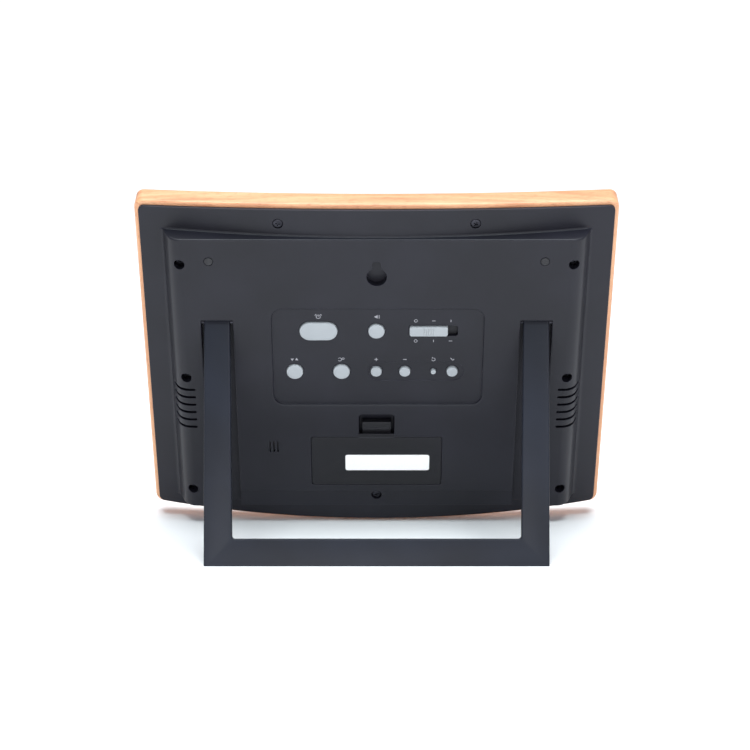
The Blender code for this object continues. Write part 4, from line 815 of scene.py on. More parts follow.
# %% Openings
def openings():
    made = []
    for side in (-1, 1):
        xs = sorted((side * CHANNEL_X[0], side * CHANNEL_X[1]))
        middle = ((xs[0] + xs[1]) / 2, (CHANNEL_TOP - 92) / 2)
        half = ((xs[1] - xs[0]) / 2, (CHANNEL_TOP + 92) / 2)
        made.append(soft_pocket("channel", middle, half[0] - 0.4, half[1] - 0.4, 0.5, -CHANNEL_DEPTH))
        pin = stack("pin_hole", (0, 0), [disc(PIN_BORE, -11), disc(PIN_BORE, 11)], 4)
        pin.data.transform(
            Matrix.Translation(((xs[0] + xs[1]) / 2, *PIVOT)) @ Matrix.Rotation(QUARTER, 4, "Z")
        )
        made.append(pin)
    made.append(soft_pocket("crossbar_channel", (0, -86.3), 76.25, 9.8, 0.5, -1.5, 0.2))
    half_x, half_z = PANEL_SIZE[0] - 0.5, PANEL_SIZE[1] - 0.5
    made.append(soft_pocket("panel", PANEL_MIDDLE, half_x, half_z, PANEL_CORNER, PANEL_FLOOR, 0.9))
    x, z, half_x, half_z = SMALL_ROW
    floor = PANEL_FLOOR - SMALL_ROW_STEP
    made.append(soft_pocket("small_row", (x, z), half_x, half_z, 5.6, floor, 0.25, 0.1, PANEL_FLOOR))
    for x, z, radius in ROUND_BUTTONS.values():
        rear = PANEL_FLOOR - SMALL_ROW_STEP if x < 5 and z == LOWER_ROW else PANEL_FLOOR
        made.append(round_hole("button_hole", (x, z), radius + BUTTON_GAP, THROUGH, 0.15, rear))
    x, z, half_x, half_z = ALARM
    half_x, half_z = half_x + BUTTON_GAP, half_z + BUTTON_GAP
    made.append(soft_pocket("alarm_hole", (x, z), half_x, half_z, half_z, THROUGH, 0.15, 0.1, PANEL_FLOOR))
    x, z, half_x, half_z = KNOB
    half_x, half_z = half_x + BUTTON_GAP + KNOB_TRAVEL / 2, half_z + BUTTON_GAP
    middle = (x - KNOB_TRAVEL / 2, z)
    made.append(soft_pocket("switch_slot", middle, half_x, half_z, 1.4, THROUGH, 0.15, 0.1, PANEL_FLOOR))
    made.append(soft_pocket("door_seat", BAY, DOOR_HALF[0] + 0.2, DOOR_HALF[1] + 0.2, 1.5, -1.8, 0.3))
    made.append(block("bay", *BAY_HOLLOW))
    made.append(soft_pocket("latch_pocket", LATCH_POCKET, 9.6, 8.3, 2.2, -5.5, 0.4, 0.6))
    for side in (-1, 1):
        xs = (side * TONGUE_X - 4.3, side * TONGUE_X + 4.3)
        made.append(block("tongue_slot", xs, (-6.7, -1.2), (-74.9, -68.9)))
    made.append(round_hole("keyhole", KEYHOLE, 5.25, -5, 0.2))
    made.append(soft_pocket("keyhole_slot", (0, 64.6), 2.3, 4.9, 2.2, -5, 0.15))
    made.append(block("keyhole_pocket", (-5.75, 5.75), (-4.7, -2.3), (60.1, 70.7)))
    for side in (-1, 1):
        made.append(slots("vents", (side * VENTS_AT[0], VENTS_AT[1]), OVER, False, **VENTS))
    made.append(slots("grille", (SOUNDER[0] - GRILLE["pitch"], SOUNDER[1]), OVER, True, **GRILLE))
    for x, z in FLANGE_SCREWS:
        surface = arc_y(x, 0)
        made.append(stack("flange_bore", (x, z), [disc(HEAD_BORE, surface - 1.2), disc(HEAD_BORE, OVER)]))
        made.append(stack("flange_hole", (x, z), [disc(SHANK_BORE, -30), disc(SHANK_BORE, 0)]))
    for x, z in SIDE_SCREWS:
        made.append(stack("side_bore", (x, z), [disc(HEAD_BORE, -6), disc(HEAD_BORE, OVER)]))
        made.append(stack("side_hole", (x, z), [disc(SHANK_BORE, -20), disc(SHANK_BORE, -5)]))
    made.append(round_hole("bottom_bore", BOTTOM_SCREW, HEAD_BORE, -4, 0.2, -1.5))
    made.append(stack("bottom_hole", BOTTOM_SCREW, [disc(SHANK_BORE, -20), disc(SHANK_BORE, -3)]))
    for at in BUMPERS:
        made.append(round_hole("bumper_seat", at, 2.45, -1, 0.15))
    return made


cover = combine(shell, openings(), "DIFFERENCE")
step = cover.modifiers.new("even_shading", "WEIGHTED_NORMAL")
step.keep_sharp = True
hand_over(cover, COVER_ABS, "clock", ["back_cover"])

# %% [markdown]
# ## The folding stand
# The stand is one U of 4.6 mm plastic that turns on two pins. It is drawn folded flat, as an
# outline with its corners rounded, and stacked in layers whose outline is set in near both faces,
# so that every edge is rounded by 0.8 mm. Then it is swung out, and its foot is ground flat where
# it meets the table.

# %% Stand
STAND_OPEN = math.radians(34.5)
STAND_LENGTH = 127.5
STAND_HALF = 90.5
STAND_THICKNESS = 4.6
STAND_EDGE = 0.8
ARM_TOP = 1.5
ARM_WIDE_TOP = 13.5
ARM_WIDE_FOOT = 14.8
CROSSBAR = 13.7


def filleted(corners, steps=5):
    """A closed outline through (x, z, radius) corners, each rounded to its radius."""
    points = []
    for i, (x, z, radius) in enumerate(corners):
        corner = Vector((x, z))
        back = (Vector(corners[i - 1][:2]) - corner).normalized()
        ahead = (Vector(corners[(i + 1) % len(corners)][:2]) - corner).normalized()
        angle = back.angle(ahead)
        centre = corner + (back + ahead).normalized() * radius / math.sin(angle / 2)
        start = corner + back * radius / math.tan(angle / 2) - centre
        side = 1 if back.cross(ahead) < 0 else -1
        for k in range(steps + 1):
            points.append(centre + Matrix.Rotation(side * (math.pi - angle) * k / steps, 2) @ start)
    return points


def inset(outline, distance):
    """The same outline set in by a distance, point by point."""
    moved = []
    for i, point in enumerate(outline):
        back = (point - outline[i - 1]).normalized()
        ahead = (outline[(i + 1) % len(outline)] - point).normalized()
        across = Vector((-(back.y + ahead.y), back.x + ahead.x)).normalized()
        moved.append(point + across * distance / max(0.3, across.dot(Vector((-back.y, back.x)))))
    return moved


def slab(name, outline, half, edge, steps=3):
    """A slab from -half to half with rounded edges; the outline is (x, z), anticlockwise."""
    rings = []
    for way in (-1, 1):
        for a in spread(0, QUARTER, steps)[::-way]:
            level = way * (half - edge * (1 - math.cos(a)))
            rings.append([(p.x, level, p.y) for p in inset(outline, edge * (1 - math.sin(a)))])
    return skin(name, rings)


def stand_outline():
    low = -STAND_LENGTH - STAND_THICKNESS
    right = [(STAND_HALF, low, 2), (STAND_HALF, ARM_TOP, 0.9), (STAND_HALF - ARM_WIDE_TOP, ARM_TOP, 0.9),
             (STAND_HALF - ARM_WIDE_FOOT, CROSSBAR - STAND_LENGTH, 1.5)]
    return filleted(right + [(-x, z, r) for x, z, r in reversed(right)])


outline = stand_outline()
print("stand outline:", len(outline), "points")
stand = slab("moulded_stand", outline, STAND_THICKNESS / 2, STAND_EDGE)
hole = stack("pin_hole", (0, 0), [disc(PIN_BORE, -100), disc(PIN_BORE, 100)], 5)
hole.data.transform(Matrix.Rotation(QUARTER, 4, "Z"))
combine(stand, [hole], "DIFFERENCE")
SWING = Matrix.Translation((0, *PIVOT)) @ Matrix.Rotation(STAND_OPEN, 4, "X")
stand.data.transform(SWING)
table = block("table", (-120, 120), (-200, 200), (-200, 0))
table.data.transform(BOARD.inverted() @ Matrix.Scale(MM, 4))
combine(stand, [table], "DIFFERENCE")
hand_over(stand, STAND_ABS, "stand", ["stand"])

# %% [markdown]
# ## Metals
# The hinge pins and the screws are blackened steel, and the battery contacts are nickel-plated
# steel. A turned or rolled metal has fine scratches along one
# direction; plating clouds it faintly. Both are noise, one stretched and one coarse.

# %% Metal finishes
def plated_metal(name, light, dark, roughness, scratch_mm=0.4):
    material, tree, shader, place = new_material(name, Metallic=1.0)
    lines = noise(tree, mapped(tree, place, Scale=(0.1, 1, 1)), scratch_mm, 3.0)
    tint = ramp(tree, noise(tree, place, 2.5, 2.0), ((0.3, dark), (0.7, light)))
    rough = between(tree, lines, roughness - 0.08, roughness + 0.12)
    feed(tree, shader, {"Base Color": tint, "Roughness": rough, "Normal": bump(tree, lines, 0.1, 0.03)})
    return material


BLACK_STEEL = plated_metal("blackened_steel", "#3C3C42", "#27272C", 0.38)
NICKEL = plated_metal("nickel_plated_steel", "#CFCBC2", "#B4B0A6", 0.25)

# %% Hinge pins
for side, name in ((1, "left"), (-1, "right")):
    turned = ((0.95, -10.45), (1.25, -10.15), (1.25, 10.15), (0.95, 10.45))
    pin = stack("pin", (0, 0), [disc(radius, y) for radius, y in turned])
    middle = (side * sum(CHANNEL_X) / 2, *PIVOT)
    pin.data.transform(Matrix.Translation(middle) @ Matrix.Rotation(QUARTER, 4, "Z"))
    pin.name = f"hinge_pin_{name}"
    hand_over(pin, BLACK_STEEL, "clock", [f"stand_pin_{name}"])

# %% [markdown]
# ## Screws
# Nine small pan-head screws hold the cover. One screw is drawn: a crowned head with a cross
# recess, and its shank. A geometry tree sets it on each place with a turn of its own, because no
# two real screws stop at the same angle; a seed keeps the turns the same each time.

# %% One cross-head screw
def screw(head, length):
    radius, shank = 2.5, 1.1
    rings = [disc(0.2, -length), disc(shank, -length + 1.6), disc(shank, 0)]
    rings += [disc(radius - 0.1, 0), disc(radius, 0.1)]
    crown = [(1.0, 0.0), (0.96, 0.45), (0.85, 0.72), (0.65, 0.9), (0.35, 0.98), (0.05, 1.0)]
    rings += [disc(radius * r, max(0.15, head * (0.45 + 0.55 * h))) for r, h in crown]
    body = stack("screw", (0, 0), rings, 6)
    deep = head - 0.75
    bars = []
    for wide, tall in ((1.45, 0.36), (0.37, 1.46)):
        tip = (wide * 0.8, tall * 0.7, 0.1, deep)
        bars.append(stack("cross", (0, 0), [tip, (wide, tall, 0.12, head + 1)], 3))
    return combine(body, bars, "DIFFERENCE")


def place_tree():
    """Sets one piece on every point, each turned about the board's Y by a random angle."""
    inputs = (("Piece", "NodeSocketObject"), ("Most turn", "NodeSocketFloat"), ("Seed", "NodeSocketInt"),
              ("Material", "NodeSocketMaterial"))
    tree, given, out = new_tree("pieces_on_places", inputs)
    piece = add(tree, "GeometryNodeObjectInfo", {"Object": given["Piece"]}).outputs["Geometry"]
    angle = add(
        tree, "FunctionNodeRandomValue", {"Max": given["Most turn"], "Seed": given["Seed"]}, data_type="FLOAT"
    )
    turn = add(tree, "ShaderNodeCombineXYZ", {"Y": angle.outputs["Value"]}).outputs["Vector"]
    spots = add(
        tree, "GeometryNodeInstanceOnPoints",
        {"Points": given["Geometry"], "Instance": piece, "Rotation": turn},
    ).outputs["Instances"]
    return close_tree(tree, spots, given, out)


PLACES = place_tree()
print("tree for screws:", PLACES.name)


def screw_set(name, head, length, spots, seed, nodes):
    piece = screw(head, length)
    values = {"Piece": piece, "Most turn": QUARTER, "Seed": seed, "Material": BLACK_STEEL}
    group = grown(name, PLACES, values, spots)
    bpy.data.objects.remove(piece)
    hand_over(group, BLACK_STEEL, "clock", nodes)


FLANGE_SEAT = arc_y(FLANGE_SCREWS[0][0], 0) - 1.2 + 0.3
screw_set(
    "flange_screws", 1.0, 9.0, [(x, FLANGE_SEAT, z) for x, z in FLANGE_SCREWS], 3,
    ["flange_screw_left", "flange_screw_right"],
)
screw_set(
    "side_screws", 1.6, 10.0, [(x, -5.7, z) for x, z in SIDE_SCREWS], 5,
    [f"side_screw_{i}" for i in range(1, 7)],
)
screw_set("lower_screw", 1.6, 8.0, [(BOTTOM_SCREW[0], -3.7, BOTTOM_SCREW[1])], 8, ["bottom_screw"])

# %% [markdown]
# ## Buttons and the slide switch
# Each button is a separate cap that moves in its hole. Its crown is faintly domed with a rounded
# edge, which gives the soft highlight of a moulded key. Below the panel it widens to a flange that
# keeps it in, and a stem presses the switch on the board.

# %% Buttons
BUTTON_TOP = PANEL_FLOOR + 1.2
FLANGE_TOP = PANEL_FLOOR - 2 - 0.3
STEM_END = -4.85


def cap(name, at, half_x, half_z, edge, body, node):
    """A domed cap with a flange below the panel and a stem."""
    corner = min(half_x, half_z)
    rings = [disc(1.1, STEM_END), disc(1.1, FLANGE_TOP - 1)]
    rings += [(half_x + 1, half_z + 1, corner + 1, level) for level in (FLANGE_TOP - 1, FLANGE_TOP)]
    rings += [(half_x, half_z, corner, FLANGE_TOP)]
    crown = 0.12
    for a in spread(0, QUARTER - 0.12, 5):
        inward = edge * (1 - math.cos(a))
        level = BUTTON_TOP - crown - edge * (1 - math.sin(a))
        rings.append((half_x - inward, half_z - inward, corner - inward, level))
    inner = corner - edge
    for share in (0.7, 0.4, 0.12):
        inward = edge + inner * (1 - share)
        level = BUTTON_TOP - crown * share * share
        rings.append((half_x - inward, half_z - inward, corner - inward, level))
    return hand_over(stack(name, at, rings), GREY_ABS, body, [node])


for name, (x, z, radius) in ROUND_BUTTONS.items():
    edge = min(0.55, radius * 0.3)
    cap(f"{name}_key", (x, z), radius, radius, edge, f"{name}_button", f"{name}_button")
x, z, half_x, half_z = ALARM
cap("alarm_key", (x, z), half_x, half_z, 0.6, "alarm_button", "alarm_button")

# %% [markdown]
# The switch's knob is a bar with a ribbed grip in its middle. The ribs come from the slot tree.

# %% Slide switch knob
x, z, half_x, half_z = KNOB
rings = [(half_x + 6, half_z + 1, 0.3, FLANGE_TOP - 1), (half_x + 6, half_z + 1, 0.3, FLANGE_TOP)]
rings += [(half_x, half_z, 1.3, FLANGE_TOP)]
for a in spread(0, QUARTER, 4):
    inward = 0.5 * (1 - math.cos(a))
    rings.append((half_x - inward, half_z - inward, 1.3 - inward, BUTTON_TOP - 0.5 * (1 - math.sin(a))))
knob = stack("switch_knob", (x, z), rings)
ribs = slots(
    "ribs", (x - 2.4, z), BUTTON_TOP + 1, True,
    length=4.4, width=0.35, depth=1.2, corner=0.1, pitch=1.2, count=5,
)
lever = block("lever", (x - 1.1, x + 1.1), (-6.2, FLANGE_TOP - 0.5), (z - 1.1, z + 1.1))
combine(knob, [ribs], "DIFFERENCE")
combine(knob, [lever], "UNION")
# The knob's faces under the panel, skirt and lever, are given black plastic: painted shade for the dark gap
# of the switch slot.
painted_shade_skirt = [face.index for face in knob.data.polygons if face.center.y < FLANGE_TOP + 0.05]
hand_over(knob, GREY_ABS, "slide_switch_knob", ["slide_switch_knob"])
knob.data.materials.append(DOOR_ABS)
for index in painted_shade_skirt:
    knob.data.polygons[index].material_index = 1

# %% [markdown]
# ## Battery door
# The door is a flush plate with a springy latch at its top and two tongues under its lower edge.
# The latch's tab has three ridges for a fingertip. A shallow seat holds the rating label.

# %% Door
DOOR_TOP = BAY[1] + DOOR_HALF[1]
LABEL = (-5.9, -57.5, 23, 5.15)


def door_plate():
    rings = [(*DOOR_HALF, 1.5, -1.5)]
    for a in spread(0, QUARTER, 3):
        inward = 0.3 * (1 - math.cos(a))
        level = -0.3 * (1 - math.sin(a))
        rings.append((DOOR_HALF[0] - inward, DOOR_HALF[1] - inward, 1.5 - inward, level))
    return stack("flush_door", BAY, rings)


def latch():
    made = [block("neck", (-9.7, 9.7), (-1.45, -0.32), (DOOR_TOP - 1, DOOR_TOP + 2))]
    made.append(block("riser", (-7.95, 7.95), (-4, -0.6), (DOOR_TOP + 0.5, DOOR_TOP + 1.5)))
    made.append(block("leaf", (-7.6, 7.6), (-3.7, -2.7), (DOOR_TOP + 1, DOOR_TOP + 9.3)))
    tab = (0, DOOR_TOP + 7.1)
    rings = [(7.95, 2.5, 0.4, -4.0)]
    for a in spread(0, QUARTER, 3):
        inward = 0.5 * (1 - math.cos(a))
        rings.append((7.95 - inward, 2.5 - inward, 0.5, -0.6 - 0.5 * (1 - math.sin(a))))
    made.append(stack("tab", tab, rings))
    for side in (-1, 1):
        xs = (side * TONGUE_X - 4, side * TONGUE_X + 4)
        made.append(block("tongue_root", xs, (-2.8, -0.75), (DOOR_TOP - 31.3, DOOR_TOP - 30.6)))
        xs = (xs[0] + 0.3, xs[1] - 0.3)
        made.append(block("tongue", xs, (-3.1, -2.3), (DOOR_TOP - 33.4, DOOR_TOP - 30.9)))
    return made


door = combine(door_plate(), latch(), "UNION")
grooves = slots(
    "grooves", (0, DOOR_TOP + 8.3), OVER, False,
    length=13.0, width=0.45, depth=3.9, corner=0.2, pitch=-1.2, count=3,
)
grooves.data.transform(Matrix.Translation((0, 0, -2.4)))
seat = soft_pocket("label_seat", LABEL[:2], LABEL[2] + 0.25, LABEL[3] + 0.25, 1.5, -0.3, 0.05, 0.05)
combine(door, [grooves, seat], "DIFFERENCE")
hand_over(door, DOOR_ABS, "battery_door", ["battery_door"])

# %% [markdown]
# ## Label and printed signs
# The label is blank white coated paper with its corners rounded. The signs over the controls are
# pad-printed ink, a few hundredths of a millimetre thick. Ink is flat colour with a slightly uneven
# edge, so each sign is a thin mesh with a grainy material.

# %% Paper and ink
def printed(name, light, dark, roughness, grain_mm):
    """A thin, matt, slightly grainy finish: paper, ink or rubber."""
    material, tree, shader, place = new_material(name)
    grain = noise(tree, place, grain_mm, 4.0)
    tint = ramp(tree, grain, ((0.35, dark), (0.6, light)))
    rough = between(tree, grain, roughness - 0.08, roughness + 0.08)
    feed(tree, shader, {"Base Color": tint, "Roughness": rough, "Normal": bump(tree, grain, 0.15, 0.04)})
    return material


PAPER = printed("coated_paper", "#FAFAF9", "#F5F6F5", 0.5, 0.8)
GREY_INK = printed("grey_pad_print", "#9C9CA2", "#85858C", 0.6, 0.5)
RUBBER = printed("black_rubber", "#26262A", "#1A1A1D", 0.75, 0.7)
layers = ((0, -0.29), (0, -0.1), (0.05, -0.05))
rings = [(LABEL[2] - less, LABEL[3] - less, 1.2 - less, y) for less, y in layers]
label = stack("paper_label", LABEL[:2], rings)
hand_over(label, PAPER, "battery_door", ["rating_label"])


# %% Printed shapes
def polygon(points, level, thickness=0.04):
    """A flat printed shape through (x, z) points."""
    return [[(x, y, z) for x, z in points] for y in (level - 0.03, level + thickness)]


def bar(at, half_x, half_z, turn=0.0):
    spin = Matrix.Rotation(turn, 2)
    corners = [spin @ Vector((sx * half_x, sz * half_z)) for sx, sz in ((1, 1), (-1, 1), (-1, -1), (1, -1))]
    return [[(at[0] + c.x, at[1] + c.y) for c in corners]]


def triangle(at, size, turn):
    angles = [math.radians(turn + 120 * k) for k in range(3)]
    return [[(at[0] + size * math.cos(a), at[1] + size * math.sin(a)) for a in angles]]


def ring(at, radius, wide, start=0, sweep=360, steps=16):
    """A ring, or an arc of one, as short bars end to end."""
    made = []
    for k in range(steps):
        corners = []
        for r, n in ((radius, k), (radius + wide, k), (radius + wide, k + 1), (radius, k + 1)):
            a = math.radians(start + sweep * n / steps)
            corners.append((at[0] + r * math.cos(a), at[1] + r * math.sin(a)))
        made.append(corners)
    return made


def print_shapes(name, shapes, level, material, body):
    points, faces = [], []
    for outline in shapes:
        area = sum(p[0] * q[1] - q[0] * p[1] for p, q in zip(outline, outline[1:] + outline[:1]))
        outline = outline if area > 0 else outline[::-1]
        start, count = len(points), len(outline)
        for ring_of in polygon(outline, level):
            points += ring_of
        faces.append(tuple(start + k for k in range(count)))
        faces.append(tuple(start + count + k for k in reversed(range(count))))
        for k in range(count):
            n = (k + 1) % count
            faces.append((start + k, start + count + k, start + count + n, start + n))
    mesh = bpy.data.meshes.new(name)
    mesh.from_pydata(points, [], faces)
    thing = bpy.data.objects.new(name, mesh)
    bpy.context.scene.collection.objects.link(thing)
    shape = bmesh.new()
    shape.from_mesh(mesh)
    bmesh.ops.recalc_face_normals(shape, faces=shape.faces)
    shape.to_mesh(mesh)
    shape.free()
    thing.data.transform(BOARD)
    thing.data.materials.append(material)
    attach(thing, body)
    print(f"{name}: {len(shapes)} printed shapes")
    return thing


UP_SIGNS = 35.4
LOW_SIGNS = 8.9
signs = triangle((0.1, UP_SIGNS), 1.3, 0) + bar((-1.3, UP_SIGNS), 0.2, 1.1)
signs += ring((30.6, UP_SIGNS), 0.9, 0.35) + bar((29.2, UP_SIGNS + 1.2), 0.5, 0.2, 0.8)
signs += bar((32.0, UP_SIGNS + 1.2), 0.5, 0.2, -0.8) + bar((30.6, UP_SIGNS + 0.25), 0.12, 0.5)
signs += triangle((42.5, LOW_SIGNS), 1.0, 90) + triangle((44.8, LOW_SIGNS), 1.0, 270)
signs += ring((17.8, LOW_SIGNS + 0.5), 0.4, 0.3) + ring((19.6, LOW_SIGNS), 0.8, 0.32, 40, 280)
signs += bar((0.2, LOW_SIGNS), 0.95, 0.2) + bar((0.2, LOW_SIGNS), 0.2, 0.95)
signs += bar((-15, LOW_SIGNS), 0.95, 0.2)
signs += ring((-30.2, LOW_SIGNS), 0.75, 0.3, 60, 290) + triangle((-29.7, LOW_SIGNS + 1.0), 0.55, 200)
signs += bar((-40.75, LOW_SIGNS - 0.2), 0.6, 0.18, -0.8) + bar((-39.9, LOW_SIGNS + 0.15), 1.0, 0.18, 0.9)
signs += ring((-20.6, UPPER_ROW + 6.2), 0.65, 0.3) + bar((-30.0, UPPER_ROW + 6.2), 0.9, 0.18)
signs += ring((-20.6, UPPER_ROW - 6.2), 0.65, 0.3) + bar((-30.0, UPPER_ROW - 6.2), 0.18, 0.7)
signs += bar((-39.0, UPPER_ROW + 6.2), 0.18, 0.7) + bar((-39.0, UPPER_ROW - 6.2), 0.9, 0.18)
print_shapes("control_signs", signs, PANEL_FLOOR, GREY_INK, "clock")

# %% [markdown]
# ## Bumpers
# Two rubber dots keep the back off a wall. Each is a turned plug with a rounded rim.

# %% Rubber bumpers
for at, name in zip(BUMPERS, ("left", "right")):
    turned = ((2.1, -0.7), (2.2, -0.6), (2.2, 0.0), (2.1, 0.18), (1.85, 0.28), (0.8, 0.3))
    rings = [disc(radius, y) for radius, y in turned]
    hand_over(stack(f"rubber_bumper_{name}", at, rings), RUBBER, "clock", [f"wall_bumper_{name}"])

# %% [markdown]
# ## The display
# The front is a clear acrylic window bent to the frame's arc, a black printed mask behind it, and a
# liquid-crystal panel whose dark segments stand on a grey-green ground. The window and the mask are
# bent sheets: a grid that follows the arc, with a front, a back and an edge.

# %% Clear, black and grey-green
def clear_acrylic():
    """Cast acrylic: clear and glossy, with the faintest waviness."""
    material, tree, shader, place = new_material(
        "clear_acrylic", Base_Color=(0.98, 0.99, 0.99, 1), Roughness=0.03, IOR=1.49, Transmission_Weight=1.0
    )
    feed(tree, shader, {"Normal": bump(tree, noise(tree, place, 45, 1.0), 0.05, 0.5)})
    return material


ACRYLIC = clear_acrylic()
MASK_INK = printed("black_screen_print", "#131315", "#0B0B0D", 0.5, 1.2)
SEGMENT_INK = printed("dark_segments", "#1E2420", "#161B18", 0.3, 0.8)
LCD_GLASS = printed("grey_green_display", "#A3AB9A", "#98A08F", 0.25, 2.0)
WINDOW_FRONT = WOOD_FRONT - LIP - 0.3
WINDOW_HALF = (109.7, 84.7)
MASK_OPENING = (77.0, -29.0, 65.0)


def bent_sheet(name, half_x, half_z, rear, front, columns=48):
    """A sheet of constant thickness that follows the arc."""
    rings = []
    for x in spread(-half_x, half_x, columns):
        corners = ((rear, half_z), (front, half_z), (front, -half_z), (rear, -half_z))
        rings.append([(x, arc_y(x, depth), z) for depth, z in corners])
    return skin(name, rings)


window = bent_sheet("bent_window", *WINDOW_HALF, WINDOW_FRONT - 1.2, WINDOW_FRONT)
hand_over(window, ACRYLIC, "clock", ["display_window"])
mask = bent_sheet("printed_mask", *WINDOW_HALF, WINDOW_FRONT - 1.8, WINDOW_FRONT - 1.5)
half_x, low, high = MASK_OPENING
half_z = (high - low) / 2
hole = stack("opening", (0, (low + high) / 2), [(half_x, half_z, 3, y) for y in (-60, 0)])
hand_over(combine(mask, [hole], "DIFFERENCE"), MASK_INK, "clock", ["display_mask"])

# %% [markdown]
# ## Seven-segment digits
# A segment is a small bar with pointed ends. A geometry tree sets one bar on every lit segment's
# place and turns and stretches it as its point says, so a whole clock face is a list of points.

# %% Digits
def segment_tree():
    inputs = (("Piece", "NodeSocketObject"), ("Material", "NodeSocketMaterial"))
    tree, given, out = new_tree("segments_on_places", inputs)
    piece = add(tree, "GeometryNodeObjectInfo", {"Object": given["Piece"]}).outputs["Geometry"]
    turn, size = (
        add(tree, "GeometryNodeInputNamedAttribute", {"Name": key}, data_type="FLOAT").outputs["Attribute"]
        for key in ("turn", "size")
    )
    spin = add(tree, "ShaderNodeCombineXYZ", {"Y": turn}).outputs["Vector"]
    scale = add(tree, "ShaderNodeCombineXYZ", {"X": size, "Y": 1.0, "Z": size}).outputs["Vector"]
    spots = add(
        tree, "GeometryNodeInstanceOnPoints",
        {"Points": given["Geometry"], "Instance": piece, "Rotation": spin, "Scale": scale},
    ).outputs["Instances"]
    return close_tree(tree, spots, given, out)


SEGMENTS = {
    "0": "abcdef", "1": "bc", "2": "abged", "3": "abgcd", "4": "fgbc",
    "5": "afgcd", "6": "afgcde", "7": "abc", "8": "abcdefg", "9": "abfgcd", "-": "g",
}
SPOTS = {
    "a": (0, 2, 0), "b": (1, 1, 1), "c": (1, -1, 1), "d": (0, -2, 0),
    "e": (-1, -1, 1), "f": (-1, 1, 1), "g": (0, 0, 0),
}


def digits(text, middle, size):
    """(point, turn, size) for each lit segment; from the front, X runs from left to right."""
    made = []
    step = size * 1.5
    start = middle[0] - step * (len(text) - 1) / 2
    for place, sign in enumerate(text):
        across = start + place * step
        if sign == ":":
            for way in (-1, 1):
                made.append(((across, way * size * 0.35 + middle[1]), 0.0, size * 0.25))
            continue
        for key in SEGMENTS.get(sign, ""):
            sx, sz, upright = SPOTS[key]
            at = (across + sx * size / 2, middle[1] + sz * size / 2)
            made.append((at, QUARTER * upright, size))
    return made


LCD_FRONT = -13.6
lit = digits("10:08", (6, 42), 15) + digits("23", (48, -8), 11) + digits("45", (4, -8), 11)
lit += digits("12-24", (-46, -8), 6) + digits("7", (-62, 42), 9)
flat = [(0.42, 0.0), (0.36, 0.075), (-0.36, 0.075), (-0.42, 0.0), (-0.36, -0.075), (0.36, -0.075)]
segment = skin("segment", [[(x, y, z) for x, z in flat] for y in (-0.05, 0.05)])
seed = bpy.data.meshes.new("lit_segments")
seed.from_pydata([(x, LCD_FRONT - 0.06, z) for (x, z), _, _ in lit], [], [])
for key, values in (("turn", [t for _, t, _ in lit]), ("size", [z for _, _, z in lit])):
    seed.attributes.new(key, "FLOAT", "POINT").data.foreach_set("value", values)
shown = bpy.data.objects.new("lit_segments", seed)
bpy.context.scene.collection.objects.link(shown)
grow = shown.modifiers.new("grow", "NODES")
grow.node_group = segment_tree()
for item in grow.node_group.interface.items_tree:
    if item.in_out == "INPUT" and item.name in ("Piece", "Material"):
        grow[item.identifier] = segment if item.name == "Piece" else SEGMENT_INK
plain(shown)
bpy.data.objects.remove(segment)
hand_over(shown, SEGMENT_INK, "clock")

# %% [markdown]
# ## Inside the clock
# Boards, cells and contacts show when the battery door opens, and through the vents. They keep
# their mechanical meshes and get the finish of what they are: green solder mask with copper tracks,
# printed steel cells, epoxy, nickel plating and rubber.

# %% Inner finishes
def circuit_board():
    """Solder mask over copper: tracks about 0.8 mm wide show through as lighter lines."""
    material, tree, shader, place = new_material("green_solder_mask", Coat_Weight=0.3, Coat_Roughness=0.2)
    track = add(
        tree, "ShaderNodeTexBrick",
        {"Vector": place, "Scale": per_metre(6), "Mortar Size": 0.06, "Color1": linear("#1E5A33"),
         "Color2": linear("#246239"), "Mortar": linear("#4E8C4F")},
    )
    relief = bump(tree, track.outputs["Fac"], 0.3, 0.05)
    rough = between(tree, track.outputs["Fac"], 0.35, 0.5)
    feed(tree, shader, {"Base Color": track.outputs["Color"], "Normal": relief, "Roughness": rough})
    return material


def cell_sleeve():
    """A printed plastic sleeve round a cell, in two colours that change a third along."""
    material, tree, shader, place = new_material("printed_cell_sleeve", Coat_Weight=0.5, Coat_Roughness=0.15)
    parts = add(tree, "ShaderNodeSeparateXYZ", {"Vector": place}).outputs["X"]
    along = add(
        tree, "ShaderNodeMapRange", {"Value": parts, "From Min": -0.026, "From Max": 0.026}
    ).outputs["Result"]
    tint = ramp(tree, along, ((0.0, "#C8C4B8"), (0.05, "#2C4F86"), (0.62, "#33589A"), (0.66, "#B9C0C8")))
    rough = between(tree, noise(tree, place, 1.5, 4.0), 0.25, 0.45)
    feed(tree, shader, {"Base Color": tint, "Roughness": rough})
    return material


def striped(name, one, other, pitch_mm, roughness):
    """Fine stripes across X: a ribbon's conductors, or a connector's layers."""
    material, tree, shader, place = new_material(name, Roughness=roughness)
    scale = per_metre(pitch_mm) / 20
    wave = add(tree, "ShaderNodeTexWave", {"Vector": place, "Scale": scale, "Distortion": 0.0})
    tint = ramp(tree, wave.outputs["Fac"], ((0.4, one), (0.6, other)))
    feed(tree, shader, {"Base Color": tint})
    return material


